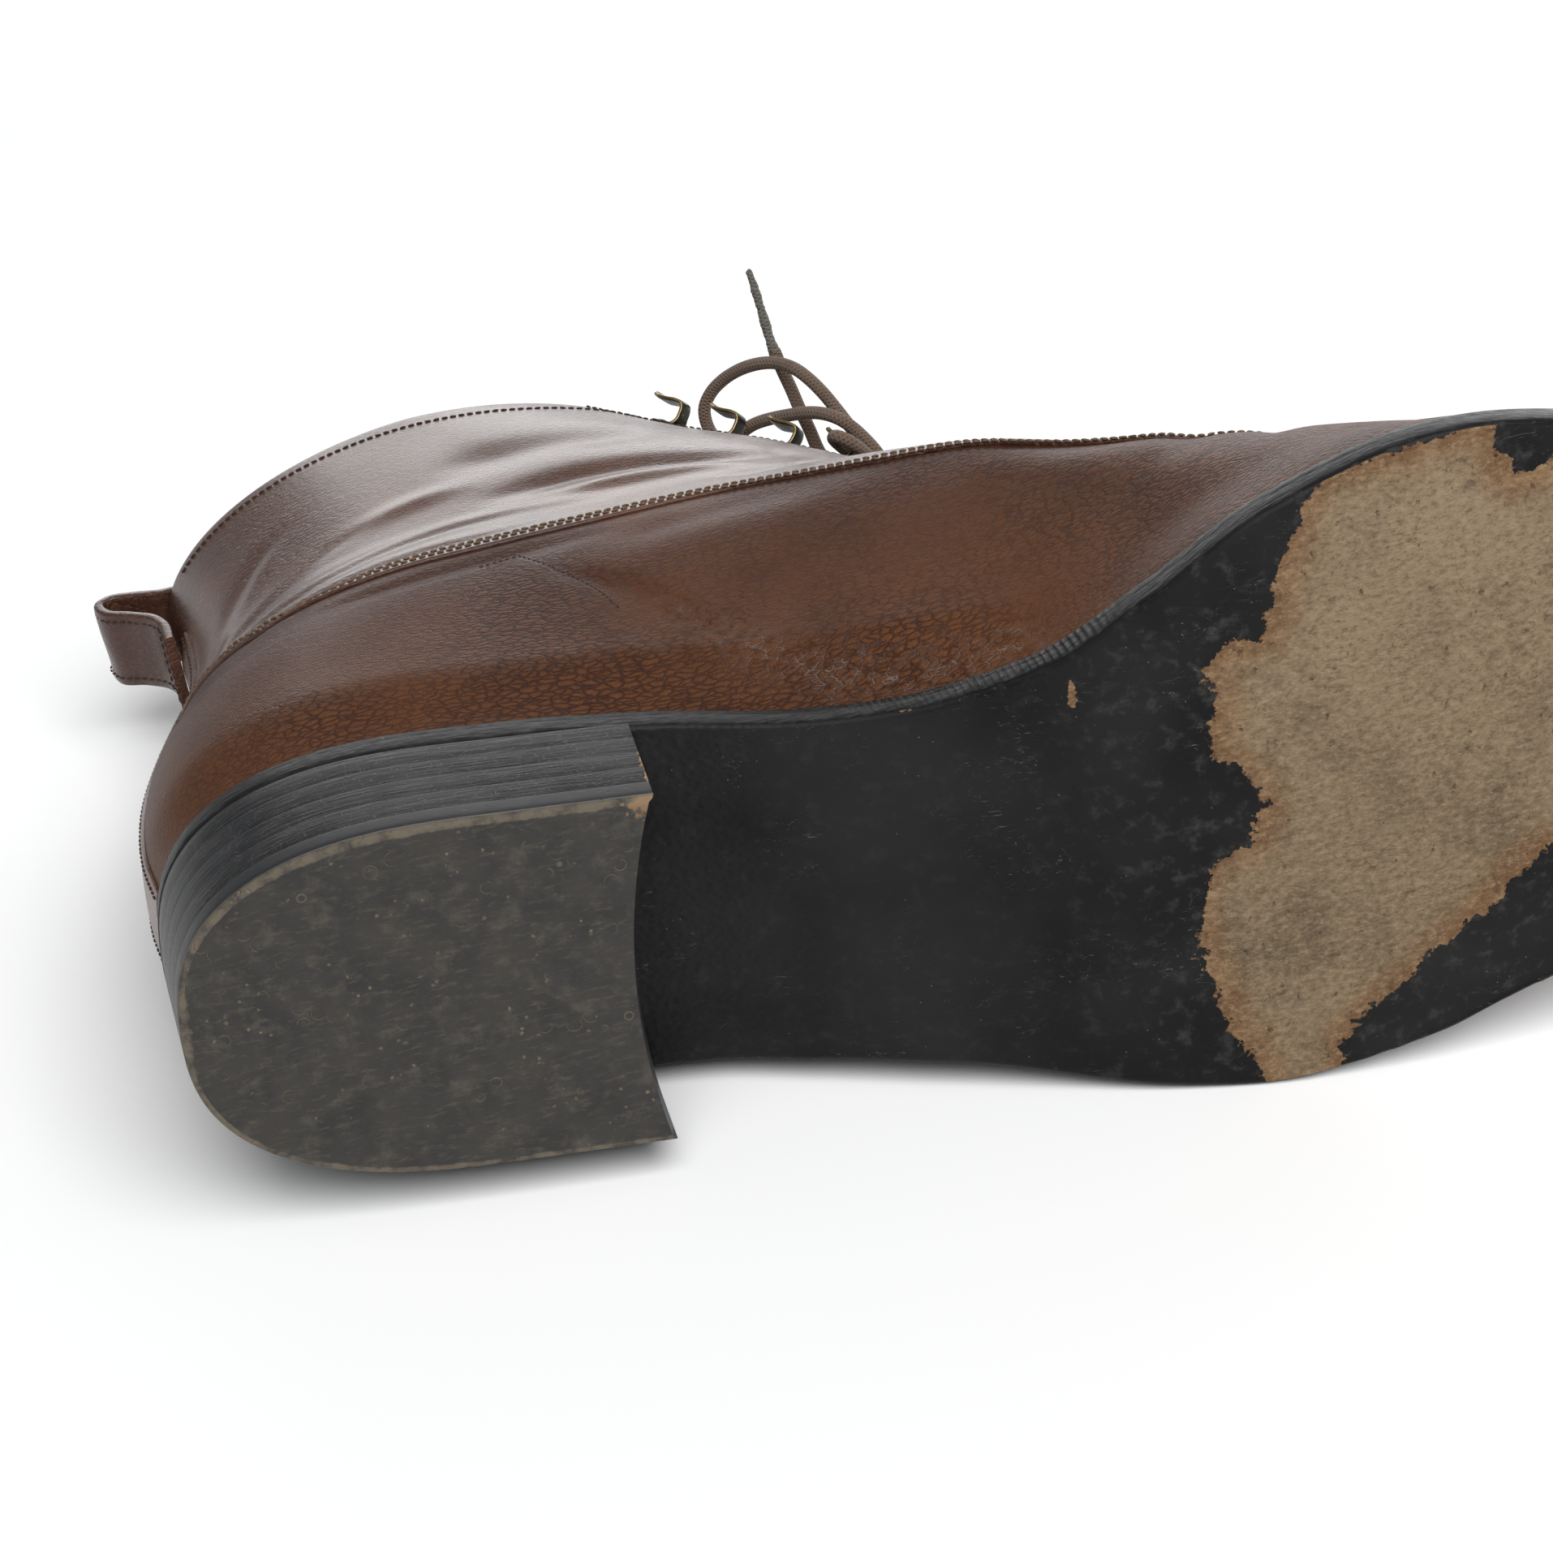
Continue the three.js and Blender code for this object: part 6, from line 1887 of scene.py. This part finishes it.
class BOOT_OT_hooks(PieceMaker, bpy.types.Operator):
    """Set the speed hooks, each a bent strip on a riveted foot"""

    bl_idname = "boot.hooks"
    bl_label = "Lace hooks"

    def execute(self, context):
        shape, sizes, colours = self.setting(context)
        for row in range(sizes.hook_rows):
            for side, word in ((-1, "inner"), (1, "outer")):
                self.hook(f"hook_{word}_{row + 1}", shape, sizes, colours, row, side)
        return {"FINISHED"}

    def hook(self, name, shape, sizes, colours, row, side):
        axes, seat = shape.hook_frame(row, side)
        line = evenly(HOOK_BENDS, 0.22)
        reach = walked(line) / walked(line)[-1]
        way = unit(np.gradient(line, axis=0))
        out = np.column_stack([-way[:, 1], way[:, 0]])
        width = np.interp(reach, *zip(*HOOK_WIDTHS)) * (sizes.hook_width / 2 / MM)
        thick = HOOK_METAL * np.interp(reach, [0, 0.02, 0.98, 1], [0.5, 1, 1, 0.5])
        angles = np.linspace(0, 2 * np.pi, 20, endpoint=False)
        cos, sin = np.cos(angles), np.sin(angles)
        round_y = np.sign(sin) * np.abs(sin) ** 0.6
        round_z = np.sign(cos) * np.abs(cos) ** 0.35
        view = line[:, None, :] + out[:, None, :] * (thick[:, None] * round_y)[..., None]
        local = np.dstack([view, width[:, None] * round_z])
        places = seat + (local.reshape(-1, 3) * MM) @ axes.T
        rows, columns = len(line), len(angles)
        faces = ring_faces(rows, columns).tolist()
        faces += [list(range(columns))[::-1], list(range((rows - 1) * columns, rows * columns))]
        edge = np.tile(smoothstep(np.abs(round_z), 0.86, 1.0), rows)
        edge *= np.repeat(smoothstep(reach, 0.25, 0.35), columns)
        dome, dome_faces = self.rivet(len(places), seat, axes)
        everything = np.concatenate([places, dome])
        fields = {"edge": np.concatenate([edge, np.full(len(dome), 0.25)])}
        metal = finish_of("hook_metal", colours)
        faces += dome_faces
        piece = make_piece(f"speed_{name}", everything, faces, shape, metal, 50, fields)
        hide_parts(name)

    def rivet(self, first, seat, axes):
        """The domed head that holds the foot down."""
        rings, sides = 6, 18
        middle, base, radius, rise = 1.3, 0.95, 1.35, 0.5
        bend = np.pi / 2 * np.arange(rings)[:, None] / rings
        turn = 2 * np.pi * np.arange(sides) / sides
        across, along = radius * np.cos(bend) * np.sin(turn), radius * np.cos(bend) * np.cos(turn)
        heights = np.broadcast_to(base + rise * np.sin(bend), across.shape)
        points = np.stack([middle + along, heights, across], -1).reshape(-1, 3)
        points = np.vstack([points, (middle, base + rise, 0)])
        points = seat + (points * MM) @ axes.T
        faces = ring_faces(rings, sides, first).tolist()
        last = first + (rings - 1) * sides
        faces += [[last + j, last + (j + 1) % sides, first + rings * sides] for j in range(sides)]
        faces.append([first + j for j in range(sides)][::-1])
        return points, faces


class BOOT_OT_stage(PieceMaker, bpy.types.Operator):
    """Set a plain pale floor and soft studio light"""

    bl_idname = "boot.stage"
    bl_label = "Stage"

    def execute(self, context):
        _, _, colours = self.setting(context)
        reach = FLOOR_REACH
        mesh = bpy.data.meshes.new("studio_floor")
        corners = [(-reach, -reach, 0), (reach, -reach, 0), (reach, reach, 0), (-reach, reach, 0)]
        mesh.from_pydata(corners, [], [(0, 1, 2, 3)])
        floor = bpy.data.objects.new("studio_floor", mesh)
        mesh.materials.append(floor_finish(colours))
        context.scene.collection.objects.link(floor)
        world = bpy.data.worlds.new("studio")
        context.scene.world = world
        world.use_nodes = True
        background = world.node_tree.nodes["Background"]
        background.inputs["Color"].default_value = ROOM_LIGHT
        background.inputs["Strength"].default_value = ROOM_STRENGTH
        context.scene.view_settings.view_transform = "Standard"
        for name, place, target, width, depth, power in LIGHTS:
            data = bpy.data.lights.new(name, "AREA")
            data.shape = "RECTANGLE"
            data.size = width
            data.size_y = depth
            data.energy = power
            light = bpy.data.objects.new(name, data)
            light.location = place
            light.rotation_euler = (Vector(target) - Vector(place)).to_track_quat("-Z", "Y").to_euler()
            context.scene.collection.objects.link(light)
        return {"FINISHED"}


OPERATORS = (
    BOOT_OT_camera, BOOT_OT_lace, BOOT_OT_upper, BOOT_OT_stitches, BOOT_OT_sole, BOOT_OT_heel,
    BOOT_OT_tongue, BOOT_OT_pull_loop, BOOT_OT_hooks, BOOT_OT_stage,
)


class BOOT_PT_sidebar(bpy.types.Panel):
    """Lists the boot's pieces"""

    bl_idname = "BOOT_PT_sidebar"
    bl_label = "Ankle boot"
    bl_space_type = "VIEW_3D"
    bl_region_type = "UI"
    bl_category = "Boot"

    def draw(self, context):
        for operator in OPERATORS:
            self.layout.operator(operator.bl_idname)
        for group in (context.scene.boot_sizes, context.scene.boot_colours):
            for name in group.__annotations__:
                self.layout.prop(group, name)


CLASSES = (BootSizes, BootColours, *OPERATORS, BOOT_PT_sidebar)


def register():
    for one in CLASSES:
        bpy.utils.register_class(one)
    bpy.types.Scene.boot_sizes = PointerProperty(type=BootSizes)
    bpy.types.Scene.boot_colours = PointerProperty(type=BootColours)


def unregister():
    del bpy.types.Scene.boot_colours
    del bpy.types.Scene.boot_sizes
    for one in reversed(CLASSES):
        bpy.utils.unregister_class(one)


def main():
    register()
    for operator in OPERATORS:
        group, name = operator.bl_idname.split(".")
        getattr(getattr(bpy.ops, group), name)()


if __name__ == "__main__":
    main()
